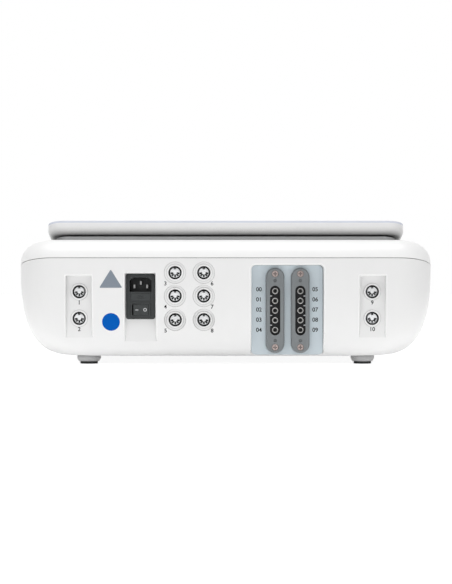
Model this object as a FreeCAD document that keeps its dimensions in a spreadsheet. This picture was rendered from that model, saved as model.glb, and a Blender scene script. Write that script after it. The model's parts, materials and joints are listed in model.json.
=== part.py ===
import FreeCAD, Part
import math
import os
import types

import Sketcher
from FreeCAD import Placement, Rotation, Vector

# A table-top ECG console: a wedge-shaped case with its sockets in the rear wall, a display that lies on
# the sloping deck and tilts up, a paper recorder and a row of keys on the operator's side.
# Millimetres. +Z is up, the socket wall faces -Y, the operator sits at +Y.
# The origin is the centre of the footprint, on the table.
# The deck frame starts at the rear edge of the seam, in the middle: x across, v down the slope and
# z square to the deck. The wall frame is x across, depth inwards from the rear edge of the seam and z up.

DIMENSIONS = (
    ("case_width", 456.5, "width of the case at the seam"),
    ("case_depth", 331.0, "depth of the case at the seam, measured level"),
    ("rim_rear_height", 117.7, "height of the seam at the rear"),
    ("deck_tilt", 14.0, "slope of the seam and the deck, degrees"),
    ("side_curve", 60.0, "how far each side draws in towards the bottom"),
    ("end_curve", 38.0, "how far the rear and the front draw in towards the bottom"),
    ("curve_power", 2.8, "exponent of the wall's superellipse"),
    ("plan_corner", 39.0, "corner radius of the case seen from above"),
    ("shell_wall", 3.0, "wall of both case shells"),
    ("top_thickness", 26.0, "height of the top shell above the seam"),
    ("shoulder", 22.0, "radius of the top shell's upper edge"),
    ("seam_gap", 0.6, "shadow gap between the base and the top shell"),
    ("lip_depth", 2.2, "how far the top shell's lip reaches into the base"),
    ("lip_wall", 2.0, "thickness of the lip"),
    ("lip_clearance", 0.9, "gap between the lip and the base wall"),
    ("post_margin", 78.25, "case screws from the case's sides"),
    ("post_rear_margin", 90.5, "rear case screws from the rear edge of the seam"),
    ("post_front_margin", 107.5, "front case screws from the front edge of the seam"),
    ("post_meet", 30.5, "height of the base bosses above the case bottom"),
    ("post_radius", 5.0, "radius of bosses and posts"),
    ("case_screw_radius", 1.5, "shank of a case screw"),
    ("case_screw_head", 2.8, "head radius of a case screw"),
    ("case_screw_head_height", 2.2, "head height of a case screw"),
    ("case_screw_sink", 9.0, "depth of the counterbore below a case screw"),
    ("case_screw_grip", 12.0, "thread in the upper post"),
    ("screw_play", 0.15, "radial gap round a screw shank"),
    ("thread_play", 0.05, "radial gap of a screw in its thread"),
    ("head_play", 0.3, "radial gap round a screw head"),
    ("foot_margin", 73.75, "feet from the case's sides"),
    ("foot_end_margin", 60.5, "feet from the case's rear and front"),
    ("foot_cup_height", 6.7, "height of a foot cup"),
    ("foot_cup_radius", 13.3, "radius of a foot cup at the case"),
    ("foot_cup_low_radius", 11.4, "radius of a foot cup at its lower rim"),
    ("foot_pad_radius", 9.9, "radius of a rubber pad"),
    ("foot_pad_drop", 2.8, "how far the pad stands below its cup"),
    ("foot_pad_sink", 1.6, "how far the pad is let into its cup"),
    ("foot_peg_radius", 4.0, "peg that holds a cup in the case bottom"),
    ("fit_clearance", 0.1, "gap of a piece that is plugged into another"),
    ("side_pocket_margin", 67.65, "centre of a side socket pocket from the case's side"),
    ("side_pocket_width", 29.0, "width of a side socket pocket"),
    ("side_pocket_top", 99.2, "upper edge of a side socket pocket"),
    ("side_pocket_depth", 9.0, "depth of a side socket pocket"),
    ("side_port_upper", 81.0, "height of the upper side sockets"),
    ("side_port_lower", 51.8, "height of the lower side sockets"),
    ("port_column_left", 55.3, "left socket column from the middle"),
    ("port_column_right", 23.9, "right socket column from the middle"),
    ("port_row_upper", 101.8, "height of the upper socket row"),
    ("port_row_middle", 76.4, "height of the middle socket row"),
    ("port_row_lower", 50.3, "height of the lower socket row"),
    ("port_depth_upper", 0.9, "depth of the upper row's seats"),
    ("port_depth_middle", 2.2, "depth of the middle row's seats"),
    ("port_depth_lower", 7.0, "depth of the lower row's seats"),
    ("port_seat_radius", 12.0, "radius of a round socket seat"),
    ("barrel_radius", 7.2, "outer radius of a socket barrel"),
    ("barrel_wall", 0.7, "wall of a socket barrel"),
    ("barrel_floor", 2.0, "closed end of a socket barrel"),
    ("barrel_length", 14.0, "length of a socket barrel"),
    ("barrel_proud", 0.6, "how far a barrel stands out of its seat"),
    ("barrel_collar_radius", 9.5, "collar behind the wall"),
    ("barrel_collar_height", 2.0, "thickness of that collar"),
    ("bezel_radius", 9.2, "outer radius of the pale ring round a socket"),
    ("bezel_height", 0.8, "thickness of that ring"),
    ("port_core_radius", 5.5, "radius of the socket's core"),
    ("port_core_length", 10.6, "length of the socket's core"),
    ("port_slot_width", 1.9, "width of a contact slot"),
    ("port_slot_length", 3.0, "radial length of a contact slot"),
    ("port_slot_start", 2.0, "inner end of a contact slot from the axis"),
    ("port_slot_depth", 8.0, "depth of a contact slot"),
    ("port_key_width", 2.6, "width of the guide key at the top of the core"),
    ("port_key_length", 1.8, "radial depth of the guide key"),
    ("port_blade_width", 0.7, "thickness of a contact blade"),
    ("port_blade_length", 1.6, "radial width of a contact blade"),
    ("port_blade_height", 5.0, "length of a contact blade"),
    ("inlet_offset", 93.3, "mains inlet left of the middle"),
    ("inlet_height", 75.9, "height of the middle of the mains inlet"),
    ("inlet_pocket_width", 34.6, "width of the mains inlet's pocket"),
    ("inlet_pocket_top", 101.7, "upper edge of that pocket"),
    ("inlet_pocket_depth", 10.8, "depth of that pocket"),
    ("inlet_flange_width", 31.6, "width of the inlet's flange"),
    ("inlet_flange_height", 49.8, "height of the inlet's flange"),
    ("inlet_flange_proud", 3.2, "thickness of the inlet's flange"),
    ("inlet_flange_corner", 2.5, "corner radius of the flange"),
    ("inlet_body_width", 27.4, "width of the inlet behind the wall"),
    ("inlet_body_height", 46.6, "height of the inlet behind the wall"),
    ("inlet_body_depth", 29.0, "length of the inlet behind the wall"),
    ("plug_rise", 12.9, "plug cavity above the inlet's middle"),
    ("plug_width", 24.0, "width of the plug cavity"),
    ("plug_height", 15.6, "height of the plug cavity"),
    ("plug_chamfer_across", 4.7, "bevel at the cavity's upper corners, across"),
    ("plug_chamfer_down", 3.0, "bevel at the cavity's upper corners, down"),
    ("plug_depth", 17.0, "depth of the plug cavity"),
    ("pin_spacing", 7.0, "live pins from the middle, across"),
    ("pin_stagger", 2.0, "pins above and below the cavity's middle"),
    ("pin_width", 2.0, "thickness of a mains pin"),
    ("pin_height", 4.0, "width of a mains pin"),
    ("pin_recess", 5.0, "pin tips behind the flange face"),
    ("fuse_drop", 0.8, "fuse drawer below the inlet's middle"),
    ("drawer_width", 22.2, "width of the fuse drawer"),
    ("drawer_height", 8.3, "height of the fuse drawer"),
    ("drawer_front", 2.2, "thickness of the drawer's front"),
    ("drawer_proud", 0.3, "drawer front ahead of the flange"),
    ("drawer_length", 24.0, "length of the fuse drawer"),
    ("drawer_well_depth", 27.5, "depth of the drawer's well"),
    ("drawer_play", 0.15, "gap round the drawer"),
    ("drawer_carrier_step", 0.6, "carrier narrower than the front, each side"),
    ("fuse_radius", 2.6, "radius of a fuse"),
    ("fuse_length", 20.0, "length of a fuse"),
    ("fuse_spacing", 4.6, "fuses from the drawer's middle"),
    ("rocker_drop", 14.85, "rocker below the inlet's middle"),
    ("rocker_frame_width", 21.4, "raised frame round the rocker, across"),
    ("rocker_frame_height", 14.5, "raised frame round the rocker, up"),
    ("rocker_frame_proud", 0.8, "thickness of the raised frame"),
    ("rocker_width", 16.4, "rocker across"),
    ("rocker_height", 11.4, "rocker up"),
    ("rocker_rise", 5.6, "rocker ends in front of the pivot"),
    ("rocker_dip", 1.4, "rocker middle below its ends"),
    ("rocker_back", 3.0, "rocker behind the pivot"),
    ("rocker_heel", 8.0, "width of the rocker's back"),
    ("rocker_pivot_sink", 4.0, "pivot behind the flange face"),
    ("rocker_throw", 12.0, "swing of the rocker, degrees"),
    ("rocker_play_across", 0.9, "gap at the rocker's ends"),
    ("rocker_play", 0.2, "gap above and below the rocker"),
    ("rocker_well_depth", 9.0, "depth of the rocker's well"),
    ("trunnion_radius", 1.25, "rocker pivot"),
    ("trunnion_length", 1.0, "rocker pivot, each end"),
    ("running_clearance", 0.05, "radial gap of a shaft that turns"),
    ("plate_offset", 67.55, "middle of the lead plate right of the middle"),
    ("plate_pocket_width", 80.1, "width of the lead plate's pocket"),
    ("plate_pocket_top", 110.7, "upper edge of that pocket"),
    ("plate_corner", 5.5, "corner radius of the lead plate"),
    ("plate_front_depth", 20.0, "face of the lead plate behind the seam"),
    ("plate_thickness", 2.5, "thickness of the lead plate"),
    ("plate_gap", 0.4, "gap between the plate and its pocket"),
    ("plate_bottom", 11.7, "lower edge of the lead plate"),
    ("block_left", 54.3, "left lead block from the middle"),
    ("block_right", 82.1, "right lead block from the middle"),
    ("block_centre", 60.3, "height of the lead blocks' middle"),
    ("block_width", 19.8, "width of a lead block"),
    ("block_height", 93.4, "height of a lead block"),
    ("block_thickness", 7.0, "how far a lead block stands out of the plate"),
    ("block_edge", 1.6, "rounding of a lead block's front edge"),
    ("block_screw_reach", 40.4, "lead block screws from its middle"),
    ("block_screw_radius", 1.6, "shank of a lead block screw"),
    ("block_screw_head", 3.5, "head radius of a lead block screw"),
    ("block_screw_head_height", 2.2, "head height of a lead block screw"),
    ("block_screw_sink", 2.6, "recess for that head"),
    ("block_screw_length", 10.5, "shank length of a lead block screw"),
    ("cross_width", 0.9, "slot of a cross recess"),
    ("cross_length", 4.2, "length of a cross recess"),
    ("cross_depth", 1.2, "depth of a cross recess"),
    ("dimple_radius", 1.75, "moulding dimple in a lead block"),
    ("dimple_reach", 33.0, "dimples from the block's middle"),
    ("dimple_depth", 1.2, "depth of a dimple"),
    ("core_width", 11.0, "width of a lead block's black core"),
    ("core_height", 54.5, "height of that core"),
    ("core_recess", 1.5, "core behind the block's face"),
    ("core_length", 21.5, "length of the core"),
    ("core_flange", 2.0, "core's rear flange beyond its sides"),
    ("core_flange_height", 2.5, "thickness of that flange"),
    ("tab_length", 2.2, "keying tab across the core's edge"),
    ("tab_height", 1.6, "keying tab, up"),
    ("lead_pitch", 10.7, "spacing of the lead sockets"),
    ("lead_bore_radius", 2.0, "bore of a lead socket"),
    ("lead_sleeve_radius", 3.25, "outside of a lead socket"),
    ("lead_sleeve_length", 20.0, "length of a lead socket"),
    ("lead_bore_depth", 16.0, "depth of the bore"),
    ("lead_proud", 0.4, "sleeve ahead of the core"),
    ("lead_tail_radius", 0.8, "solder tail"),
    ("lead_tail_length", 8.0, "length of the solder tail"),
    ("board_thickness", 1.6, "thickness of every circuit board"),
    ("lead_board_width", 62.0, "amplifier board across"),
    ("lead_board_height", 72.0, "amplifier board up"),
    ("can_width", 26.0, "screening can on the amplifier board"),
    ("can_height", 40.0, "screening can, up"),
    ("can_depth", 7.0, "screening can, thickness"),
    ("board_stand", 9.0, "pillars below the level boards"),
    ("pillar_radius", 3.5, "radius of a board pillar"),
    ("pillar_inset", 5.0, "pillars from a board's edges"),
    ("supply_side_margin", 90.25, "power supply board from the case's left side"),
    ("supply_rear_margin", 53.5, "power supply board from the rear edge of the seam"),
    ("supply_width", 90.0, "power supply board across"),
    ("supply_depth", 68.0, "power supply board, front to rear"),
    ("transformer_width", 44.0, "transformer across"),
    ("transformer_depth", 36.0, "transformer, front to rear"),
    ("transformer_height", 32.0, "transformer height"),
    ("capacitor_radius", 8.0, "reservoir capacitor"),
    ("capacitor_height", 26.0, "reservoir capacitor height"),
    ("capacitor_spacing", 11.0, "capacitors from their middle"),
    ("supply_inset", 6.0, "supply parts from the board's edges"),
    ("board_gap", 8.0, "gap between the two level boards"),
    ("main_rear_margin", 95.5, "main board from the rear edge of the seam"),
    ("main_width", 170.0, "main board across"),
    ("main_depth", 108.0, "main board, front to rear"),
    ("processor_side", 36.0, "cooled processor block"),
    ("processor_height", 12.0, "cooled processor block height"),
    ("memory_side", 20.0, "memory chip"),
    ("memory_height", 2.0, "memory chip height"),
    ("memory_spacing", 30.0, "memory chips from the board's middle"),
    ("cradle_side_margin", 9.2, "plate under the display inside its sides"),
    ("cradle_rear_margin", 5.0, "that plate's rear edge inside the display's"),
    ("cradle_front_margin", 9.0, "that plate's front edge inside the display's"),
    ("cradle_proud", 7.4, "thickness of that plate"),
    ("cradle_corner", 14.0, "corner radius of that plate"),
    ("slab_side_margin", 28.5, "display inside the case's sides"),
    ("slab_rear", 26.0, "rear edge of the display down the slope"),
    ("slab_door_gap", 11.0, "front edge of the display behind the recorder door's hinge"),
    ("slab_corner", 18.0, "corner radius of the display"),
    ("slab_gap", 2.0, "gap between the plate and the display"),
    ("cover_height", 8.4, "depth of the display's back cover"),
    ("cover_wall", 2.2, "wall of the back cover"),
    ("cover_round", 7.5, "rounding of the back cover's lower edge"),
    ("frame_height", 4.2, "depth of the display's frame"),
    ("glass_height", 2.2, "thickness of the front glass"),
    ("panel_side_margin", 19.5, "display panel inside the display's sides"),
    ("panel_rear_margin", 20.0, "display panel inside the display's rear edge"),
    ("panel_front_margin", 24.0, "display panel inside the display's front edge"),
    ("panel_gap", 2.0, "gap between the panel and the frame"),
    ("panel_corner", 3.0, "corner radius of the frame's window"),
    ("bumper_radius", 5.0, "rubber bumper under the display"),
    ("bumper_play", 0.1, "gap above a bumper"),
    ("bumper_side_margin", 30.5, "bumpers inside the plate's sides"),
    ("bumper_rear_margin", 29.0, "rear bumpers inside the plate's rear edge"),
    ("bumper_front_margin", 21.0, "front bumpers inside the plate's front edge"),
    ("cover_screw_side_margin", 22.75, "outer cover screws inside the display's sides"),
    ("cover_screw_inner", 63.3, "inner cover screws from the middle"),
    ("cover_screw_inset", 12.0, "cover screws from the display's edges"),
    ("cover_screw_radius", 1.5, "shank of a cover screw"),
    ("cover_screw_head", 3.0, "head radius of a cover screw"),
    ("cover_screw_head_height", 1.2, "head height of a cover screw"),
    ("cover_screw_grip", 3.0, "thread of a cover screw in the frame"),
    ("hinge_inset", 7.0, "display hinge inside the display's front edge"),
    ("hinge_rise", 4.0, "display hinge above the back cover's underside"),
    ("hinge_offset", 120.0, "display hinges from the middle"),
    ("hinge_pin_radius", 2.0, "display hinge pin"),
    ("knuckle_radius", 4.0, "knuckles on the display hinge"),
    ("knuckle_width", 20.0, "knuckle of the display's arm"),
    ("ear_width", 6.0, "ear on the plate, each side"),
    ("ear_gap", 0.5, "gap between ear and knuckle"),
    ("ear_back", 8.0, "rear face of an ear from the hinge"),
    ("ear_front", 1.0, "front face of an ear from the hinge"),
    ("arm_back", 10.0, "rear end of an arm from the hinge"),
    ("notch_width", 44.0, "notch in the back cover"),
    ("notch_back", 12.0, "notch behind the hinge"),
    ("notch_front", 5.0, "notch in front of the hinge"),
    ("recorder_margin", 98.25, "middle of the recorder from the case's left side"),
    ("door_margin", 74.13, "recorder door's hinge from the front edge of the seam"),
    ("door_width", 98.0, "recorder door across"),
    ("door_reach", 46.0, "recorder door in front of its hinge"),
    ("door_thickness", 2.8, "thickness of the recorder door"),
    ("door_gap", 0.5, "gap round the recorder door"),
    ("paper_slot", 1.2, "paper slot in front of the door"),
    ("door_pin_radius", 0.8, "hinge pin of the recorder door"),
    ("door_pin_grip", 4.0, "hinge pin in the deck, each side"),
    ("bucket_width", 90.0, "inside of the recorder frame across"),
    ("bucket_start", 1.6, "inside of the recorder frame, rear, in front of the door's hinge"),
    ("bucket_length", 44.0, "inside of the recorder frame down the slope"),
    ("bucket_depth", 38.0, "inside of the recorder frame below the deck"),
    ("bucket_wall", 2.5, "wall of the recorder frame"),
    ("bucket_ledge", 6.2, "flange of the recorder frame under the deck"),
    ("bucket_ledge_height", 2.0, "thickness of that flange"),
    ("roll_start", 18.4, "paper roll's axis in front of the door's hinge"),
    ("roll_sink", 23.0, "paper roll's axis below the deck"),
    ("roll_radius", 16.0, "radius of the paper roll"),
    ("roll_width", 80.0, "width of the paper roll"),
    ("roll_bore", 6.0, "radius of the roll's bore"),
    ("spindle_radius", 5.95, "radius of the roll's spindle"),
    ("spindle_width", 89.0, "length of the roll's spindle"),
    ("journal_radius", 2.0, "journals of spindle and platen"),
    ("platen_start", 39.5, "platen's axis in front of the door's hinge"),
    ("platen_radius", 5.0, "radius of the platen"),
    ("platen_width", 82.0, "length of the platen"),
    ("platen_play", 0.3, "gap between the platen and the print head"),
    ("head_width", 80.0, "print head across"),
    ("head_depth", 9.0, "print head down the slope"),
    ("head_height", 6.0, "thickness of the print head"),
    ("motor_radius", 7.5, "paper motor"),
    ("motor_length", 20.0, "length of the paper motor"),
    ("motor_shaft_reach", 10.0, "platen shaft in the motor"),
    ("key_first", -20.0, "first key from the middle"),
    ("key_pitch", 40.0, "spacing of the keys"),
    ("key_width", 28.0, "key cap across"),
    ("key_depth", 14.0, "key cap down the slope"),
    ("key_corner", 4.0, "corner radius of a key cap"),
    ("key_edge", 0.8, "rounding of a key cap's top"),
    ("key_proud", 1.8, "key cap above the deck"),
    ("key_gap", 0.4, "gap round a key cap"),
    ("key_flange", 2.0, "key flange beyond the cap"),
    ("key_flange_height", 1.5, "thickness of the key flange"),
    ("key_seat_gap", 0.2, "gap between the flange and the deck"),
    ("key_stem_radius", 2.0, "key stem"),
    ("key_stem_length", 2.5, "length of the key stem"),
    ("key_travel", 1.2, "travel of a key"),
    ("key_stop", 0.4, "gap left below a pressed key"),
    ("key_board_margin", 12.0, "key board beyond the outer keys"),
    ("key_board_depth", 22.0, "key board down the slope"),
    ("key_boss_radius", 3.0, "boss that carries the key board"),
)

HULL_STEPS = 6
KEY_COUNT = 5
LEADS_PER_BLOCK = 5
SLOT_ANGLES = (100.0, 135.0, 180.0, 225.0, 260.0)
QUARTER_TURN = 90.0
FULL_TURN = 360.0
# A cutter is this many walls long, so that it passes right through.
THROUGH = 3
ACROSS = Vector(1, 0, 0)
SIDES = (("left", -1), ("right", 1))
ENDS = (("rear", -1), ("front", 1))

doc = FreeCAD.newDocument("ecg_machine")
nodes = []


class Size:
    """A size of the model: its value now, and the sheet expression that gives it."""

    def __init__(self, value, text):
        self.value = value
        self.text = text

    def __add__(self, other):
        return Size(self.value + value_of(other), f"({self.text} + {text_of(other)})")

    def __radd__(self, other):
        return Size(value_of(other) + self.value, f"({text_of(other)} + {self.text})")

    def __sub__(self, other):
        return Size(self.value - value_of(other), f"({self.text} - {text_of(other)})")

    def __rsub__(self, other):
        return Size(value_of(other) - self.value, f"({text_of(other)} - {self.text})")

    def __mul__(self, other):
        return Size(self.value * value_of(other), f"({self.text} * {text_of(other)})")

    def __rmul__(self, other):
        return self * other

    def __truediv__(self, other):
        return Size(self.value / value_of(other), f"({self.text} / {text_of(other)})")

    def __neg__(self):
        return 0 - self


def value_of(size):
    return size.value if isinstance(size, Size) else float(size)


def text_of(size):
    return size.text if isinstance(size, Size) else repr(float(size))


def cosine(angle):
    return Size(math.cos(math.radians(angle.value)), f"cos({angle.text})")


def sine(angle):
    return Size(math.sin(math.radians(angle.value)), f"sin({angle.text})")


def fill_sheet():
    sheet = doc.addObject("Spreadsheet::Sheet", "dims")
    for row, (alias, amount, meaning) in enumerate(DIMENSIONS, start=1):
        sheet.set(f"A{row}", meaning)
        sheet.set(f"B{row}", str(amount))
        sheet.setAlias(f"B{row}", alias)
    doc.recompute()
    sizes = types.SimpleNamespace()
    for alias, _, _ in DIMENSIONS:
        setattr(sizes, alias, Size(float(sheet.get(alias)), f"dims.{alias}"))
    return sizes


d = fill_sheet()
FLUSH = Size(0.0, "0")

# Places that several pieces share.
hull_bottom = d.foot_cup_height + d.foot_pad_drop
case_side = d.case_width / 2
rear_edge = -d.case_depth / 2
post_offset = case_side - d.post_margin
post_rear = d.case_depth / 2 - d.post_rear_margin
post_front = d.case_depth / 2 - d.post_front_margin
foot_offset = case_side - d.foot_margin
foot_reach = d.case_depth / 2 - d.foot_end_margin
side_pocket_offset = case_side - d.side_pocket_margin
supply_rear = d.case_depth / 2 - d.supply_rear_margin
main_rear = d.case_depth / 2 - d.main_rear_margin
supply_left = case_side - d.supply_side_margin
main_left = supply_left - d.supply_width - d.board_gap
recorder_offset = case_side - d.recorder_margin
seam_length = d.case_depth / cosine(d.deck_tilt)
seam_drop = seam_length * sine(d.deck_tilt)
deck = d.top_thickness
deck_underside = d.top_thickness - d.shell_wall
cradle_top = deck + d.cradle_proud
cover_bottom = cradle_top + d.slab_gap
cover_top = cover_bottom + d.cover_height
frame_top = cover_top + d.frame_height
hinge_z = cover_bottom + d.hinge_rise
door_v = seam_length - d.door_margin
bucket_rear = door_v + d.bucket_start
roll_v = door_v + d.roll_start
platen_v = door_v + d.platen_start
key_v = door_v + d.door_reach / 2
slab_front = door_v - d.slab_door_gap
slab_width = d.case_width - 2 * d.slab_side_margin
slab_depth = slab_front - d.slab_rear
slab_middle = (slab_front + d.slab_rear) / 2
hinge_v = slab_front - d.hinge_inset
cover_screw_outer = slab_width / 2 - d.cover_screw_side_margin
panel_width = slab_width - 2 * d.panel_side_margin
panel_rear = d.slab_rear + d.panel_rear_margin
panel_depth = slab_front - d.panel_front_margin - panel_rear
cradle_width = slab_width - 2 * d.cradle_side_margin
cradle_rear = d.slab_rear + d.cradle_rear_margin
cradle_front = slab_front - d.cradle_front_margin
bumper_offset = cradle_width / 2 - d.bumper_side_margin
bumper_rear = cradle_rear + d.bumper_rear_margin
bumper_front = cradle_front - d.bumper_front_margin
plate_back = d.plate_front_depth + d.plate_thickness
block_face = d.plate_front_depth - d.block_thickness
core_face = block_face + d.core_recess
lead_face = core_face - d.lead_proud
lead_back = lead_face + d.lead_sleeve_length
board_level = hull_bottom + d.shell_wall + d.board_stand
flange_face = d.inlet_flange_proud
door_axis_z = deck - d.door_thickness / 2
platen_z = deck - d.door_thickness - d.head_height - d.platen_play - d.platen_radius
roll_z = deck - d.roll_sink
key_flange_top = deck_underside - d.key_seat_gap
key_board_top = key_flange_top - d.key_flange_height - d.key_stem_length - d.key_travel - d.key_stop


def bind(item, path, size):
    item.setExpression(path, text_of(size))


def put(item, x=0, y=0, z=0):
    for axis, size in zip("xyz", (x, y, z)):
        if isinstance(size, Size):
            bind(item, f"Placement.Base.{axis}", size)
    return item


def on_deck(item, x=0, v=0, z=0):
    """Lay an item that was made level on the sloping deck."""
    item.Placement = Placement(Vector(), Rotation(-ACROSS, d.deck_tilt.value))
    bind(item, "Placement.Rotation.Angle", d.deck_tilt)
    return put(item, x, *deck_point(v, z))


def deck_point(v, z):
    level = rear_edge + v * cosine(d.deck_tilt) + z * sine(d.deck_tilt)
    height = d.rim_rear_height - v * sine(d.deck_tilt) + z * cosine(d.deck_tilt)
    return level, height


def on_wall(item, x=0, depth=0, z=0):
    """Stand an item against the rear wall: its own z points out of the wall, its own y up."""
    item.Placement = Placement(Vector(), Rotation(ACROSS, QUARTER_TURN))
    return put(item, x, rear_edge + depth, z)


def keep(item):
    """Count an object as a sub-part of the machine."""
    nodes.append(item)
    return item


def box(name, across, along, up):
    item = doc.addObject("Part::Box", name)
    for side, size in (("Length", across), ("Width", along), ("Height", up)):
        bind(item, side, size)
    return item


def level_box(name, sizes, x, y, z):
    """A box in the machine's frame, centred on x and y, standing on z."""
    return put(box(name, *sizes), x - sizes[0] / 2, y - sizes[1] / 2, z)


def deck_box(name, sizes, x, v, z):
    """A box in the deck frame, centred on x and v, standing on z."""
    return on_deck(box(name, *sizes), x - sizes[0] / 2, v - sizes[1] / 2, z)


def wall_box(name, sizes, x, depth, z):
    """A box in the wall frame, centred on x and z, starting at a depth and going inwards."""
    return put(box(name, *sizes), x - sizes[0] / 2, rear_edge + depth, z - sizes[2] / 2)


def rod(name, radius, length):
    item = doc.addObject("Part::Cylinder", name)
    bind(item, "Radius", radius)
    bind(item, "Height", length)
    return item


def upright_rod(name, radius, length, x, y, z):
    return put(rod(name, radius, length), x, y, z)


def deck_rod(name, radius, length, x, v, z):
    """A rod across the machine, centred on x, with its axis at a place in the deck frame."""
    item = rod(name, radius, length)
    item.Placement = Placement(Vector(), Rotation(Vector(0, 1, 0), QUARTER_TURN))
    return put(item, x - length / 2, *deck_point(v, z))


def wall_rod(name, radius, length, x, depth, z):
    """A rod that starts at a depth in the rear wall and goes inwards."""
    item = rod(name, radius, length)
    item.Placement = Placement(Vector(), Rotation(-ACROSS, QUARTER_TURN))
    return put(item, x, rear_edge + depth, z)


def join(name, *pieces):
    item = doc.addObject("Part::MultiFuse", name)
    item.Shapes = list(pieces)
    return item


def cut(name, base, *tools):
    item = doc.addObject("Part::Cut", name)
    item.Base = base
    item.Tool = tools[0] if len(tools) == 1 else join(f"{name}_tools", *tools)
    return item


def common(name, base, tool):
    item = doc.addObject("Part::Common", name)
    item.Base = base
    item.Tool = tool
    return item


def group(name, pieces):
    """Separate solids that make up one sub-part."""
    item = doc.addObject("Part::Compound", name)
    item.Links = list(pieces)
    return item


def new_body(name):
    return doc.addObject("PartDesign::Body", name)


def new_sketch(body, name, plane="XY_Plane", lift=0):
    sketch = body.newObject("Sketcher::SketchObject", name)
    support = [item for item in body.Origin.OriginFeatures if item.Role == plane][0]
    sketch.AttachmentSupport = [(support, "")]
    sketch.MapMode = "FlatFace"
    if isinstance(lift, Size):
        bind(sketch, "AttachmentOffset.Base.z", lift)
    return sketch


def driven(sketch, kind, geometry, size):
    """Add a dimension to a sketch and bind it to the sheet."""
    index = sketch.addConstraint(Sketcher.Constraint(kind, *geometry, value_of(size)))
    bind(sketch, f"Constraints[{index}]", size)


def locate(sketch, curve, point, x, y):
    """Fix a point of a sketch's curve from the sketch's origin."""
    for kind, axis, size in (("DistanceX", -2, x), ("DistanceY", -1, y)):
        if value_of(size) == 0:
            sketch.addConstraint(Sketcher.Constraint("PointOnObject", curve, point, axis))
        elif value_of(size) > 0:
            driven(sketch, kind, (-1, 1, curve, point), size)
        else:
            driven(sketch, kind, (curve, point, -1, 1), -size)


def arc(x, y, radius, start, stop):
    circle = Part.Circle(Vector(x, y, 0), Vector(0, 0, 1), radius)
    return Part.ArcOfCircle(circle, math.radians(start), math.radians(stop))


def line(start, stop):
    return Part.LineSegment(Vector(*start, 0), Vector(*stop, 0))


def draw_rectangle(sketch, width, height, radius, x=0, y=0):
    """A rectangle with round corners, centred on x and y, wound from its lower side."""
    w, h, r = value_of(width) / 2, value_of(height) / 2, value_of(radius)
    a, b = value_of(x), value_of(y)
    first = sketch.GeometryCount
    corners = ((w, -h, 1, -1, 270), (w, h, 1, 1, 0), (-w, h, -1, 1, 90), (-w, -h, -1, -1, 180))
    sides = (
        ((-w + r, -h), (w - r, -h)),
        ((w, -h + r), (w, h - r)),
        ((w - r, h), (-w + r, h)),
        ((-w, h - r), (-w, -h + r)),
    )
    for (start, stop), (cx, cy, sx, sy, turn) in zip(sides, corners):
        sketch.addGeometry(line((a + start[0], b + start[1]), (a + stop[0], b + stop[1])), False)
        sketch.addGeometry(arc(a + cx - sx * r, b + cy - sy * r, r, turn, turn + QUARTER_TURN), False)
    count = len(sides) + len(corners)
    for index in range(count):
        after = first + (index + 1) % count
        sketch.addConstraint(Sketcher.Constraint("Tangent", first + index, 2, after, 1))
    for index, kind in ((0, "Horizontal"), (2, "Vertical"), (4, "Horizontal"), (6, "Vertical")):
        sketch.addConstraint(Sketcher.Constraint(kind, first + index))
    for index in (3, 5, 7):
        sketch.addConstraint(Sketcher.Constraint("Equal", first + 1, first + index))
    driven(sketch, "Radius", (first + 1,), radius)
    locate(sketch, first + 7, 3, x - width / 2 + radius, y - height / 2 + radius)
    locate(sketch, first + 3, 3, x + width / 2 - radius, y + height / 2 - radius)


def draw_stadium(sketch, width, height):
    """An upright slot shape with round ends, centred on the origin."""
    r = value_of(width) / 2
    reach = value_of(height) / 2 - r
    sketch.addGeometry(line((r, -reach), (r, reach)), False)
    sketch.addGeometry(arc(0, reach, r, 0, 2 * QUARTER_TURN), False)
    sketch.addGeometry(line((-r, reach), (-r, -reach)), False)
    sketch.addGeometry(arc(0, -reach, r, 2 * QUARTER_TURN, 4 * QUARTER_TURN), False)
    for index in range(4):
        sketch.addConstraint(Sketcher.Constraint("Tangent", index, 2, (index + 1) % 4, 1))
    sketch.addConstraint(Sketcher.Constraint("Equal", 1, 3))
    driven(sketch, "Radius", (1,), width / 2)
    locate(sketch, 1, 3, 0, height / 2 - width / 2)
    locate(sketch, 3, 3, 0, width / 2 - height / 2)


def draw_circle(sketch, radius, x, y):
    centre = Vector(value_of(x), value_of(y), 0)
    curve = sketch.addGeometry(Part.Circle(centre, Vector(0, 0, 1), value_of(radius)), False)
    driven(sketch, "Radius", (curve,), radius)
    locate(sketch, curve, 3, x, y)


def draw_polygon(sketch, points):
    first = sketch.GeometryCount
    places = [(value_of(x), value_of(y)) for x, y in points]
    count = len(points)
    for index in range(count):
        sketch.addGeometry(line(places[index], places[(index + 1) % count]), False)
    for index in range(count):
        after = first + (index + 1) % count
        sketch.addConstraint(Sketcher.Constraint("Coincident", first + index, 2, after, 1))
    for index, (x, y) in enumerate(points):
        locate(sketch, first + index, 1, x, y)


def pad(body, sketch, length, downwards=False, both=False):
    feature = body.newObject("PartDesign::Pad", f"{body.Name}_pad")
    feature.Profile = sketch
    bind(feature, "Length", length)
    feature.Reversed = downwards
    if both:
        feature.SideType = "Symmetric"
    doc.recompute()
    return feature


def pocket(body, sketch, length):
    """Cut a sketch's shape down from its plane, and make sure that something was cut."""
    before = body.Shape.Volume
    feature = body.newObject("PartDesign::Pocket", f"{body.Name}_pocket")
    feature.Profile = sketch
    bind(feature, "Length", length)
    doc.recompute()
    if body.Shape.Volume >= before:
        raise RuntimeError(f"{feature.Name} cuts nothing")
    return feature


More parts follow.
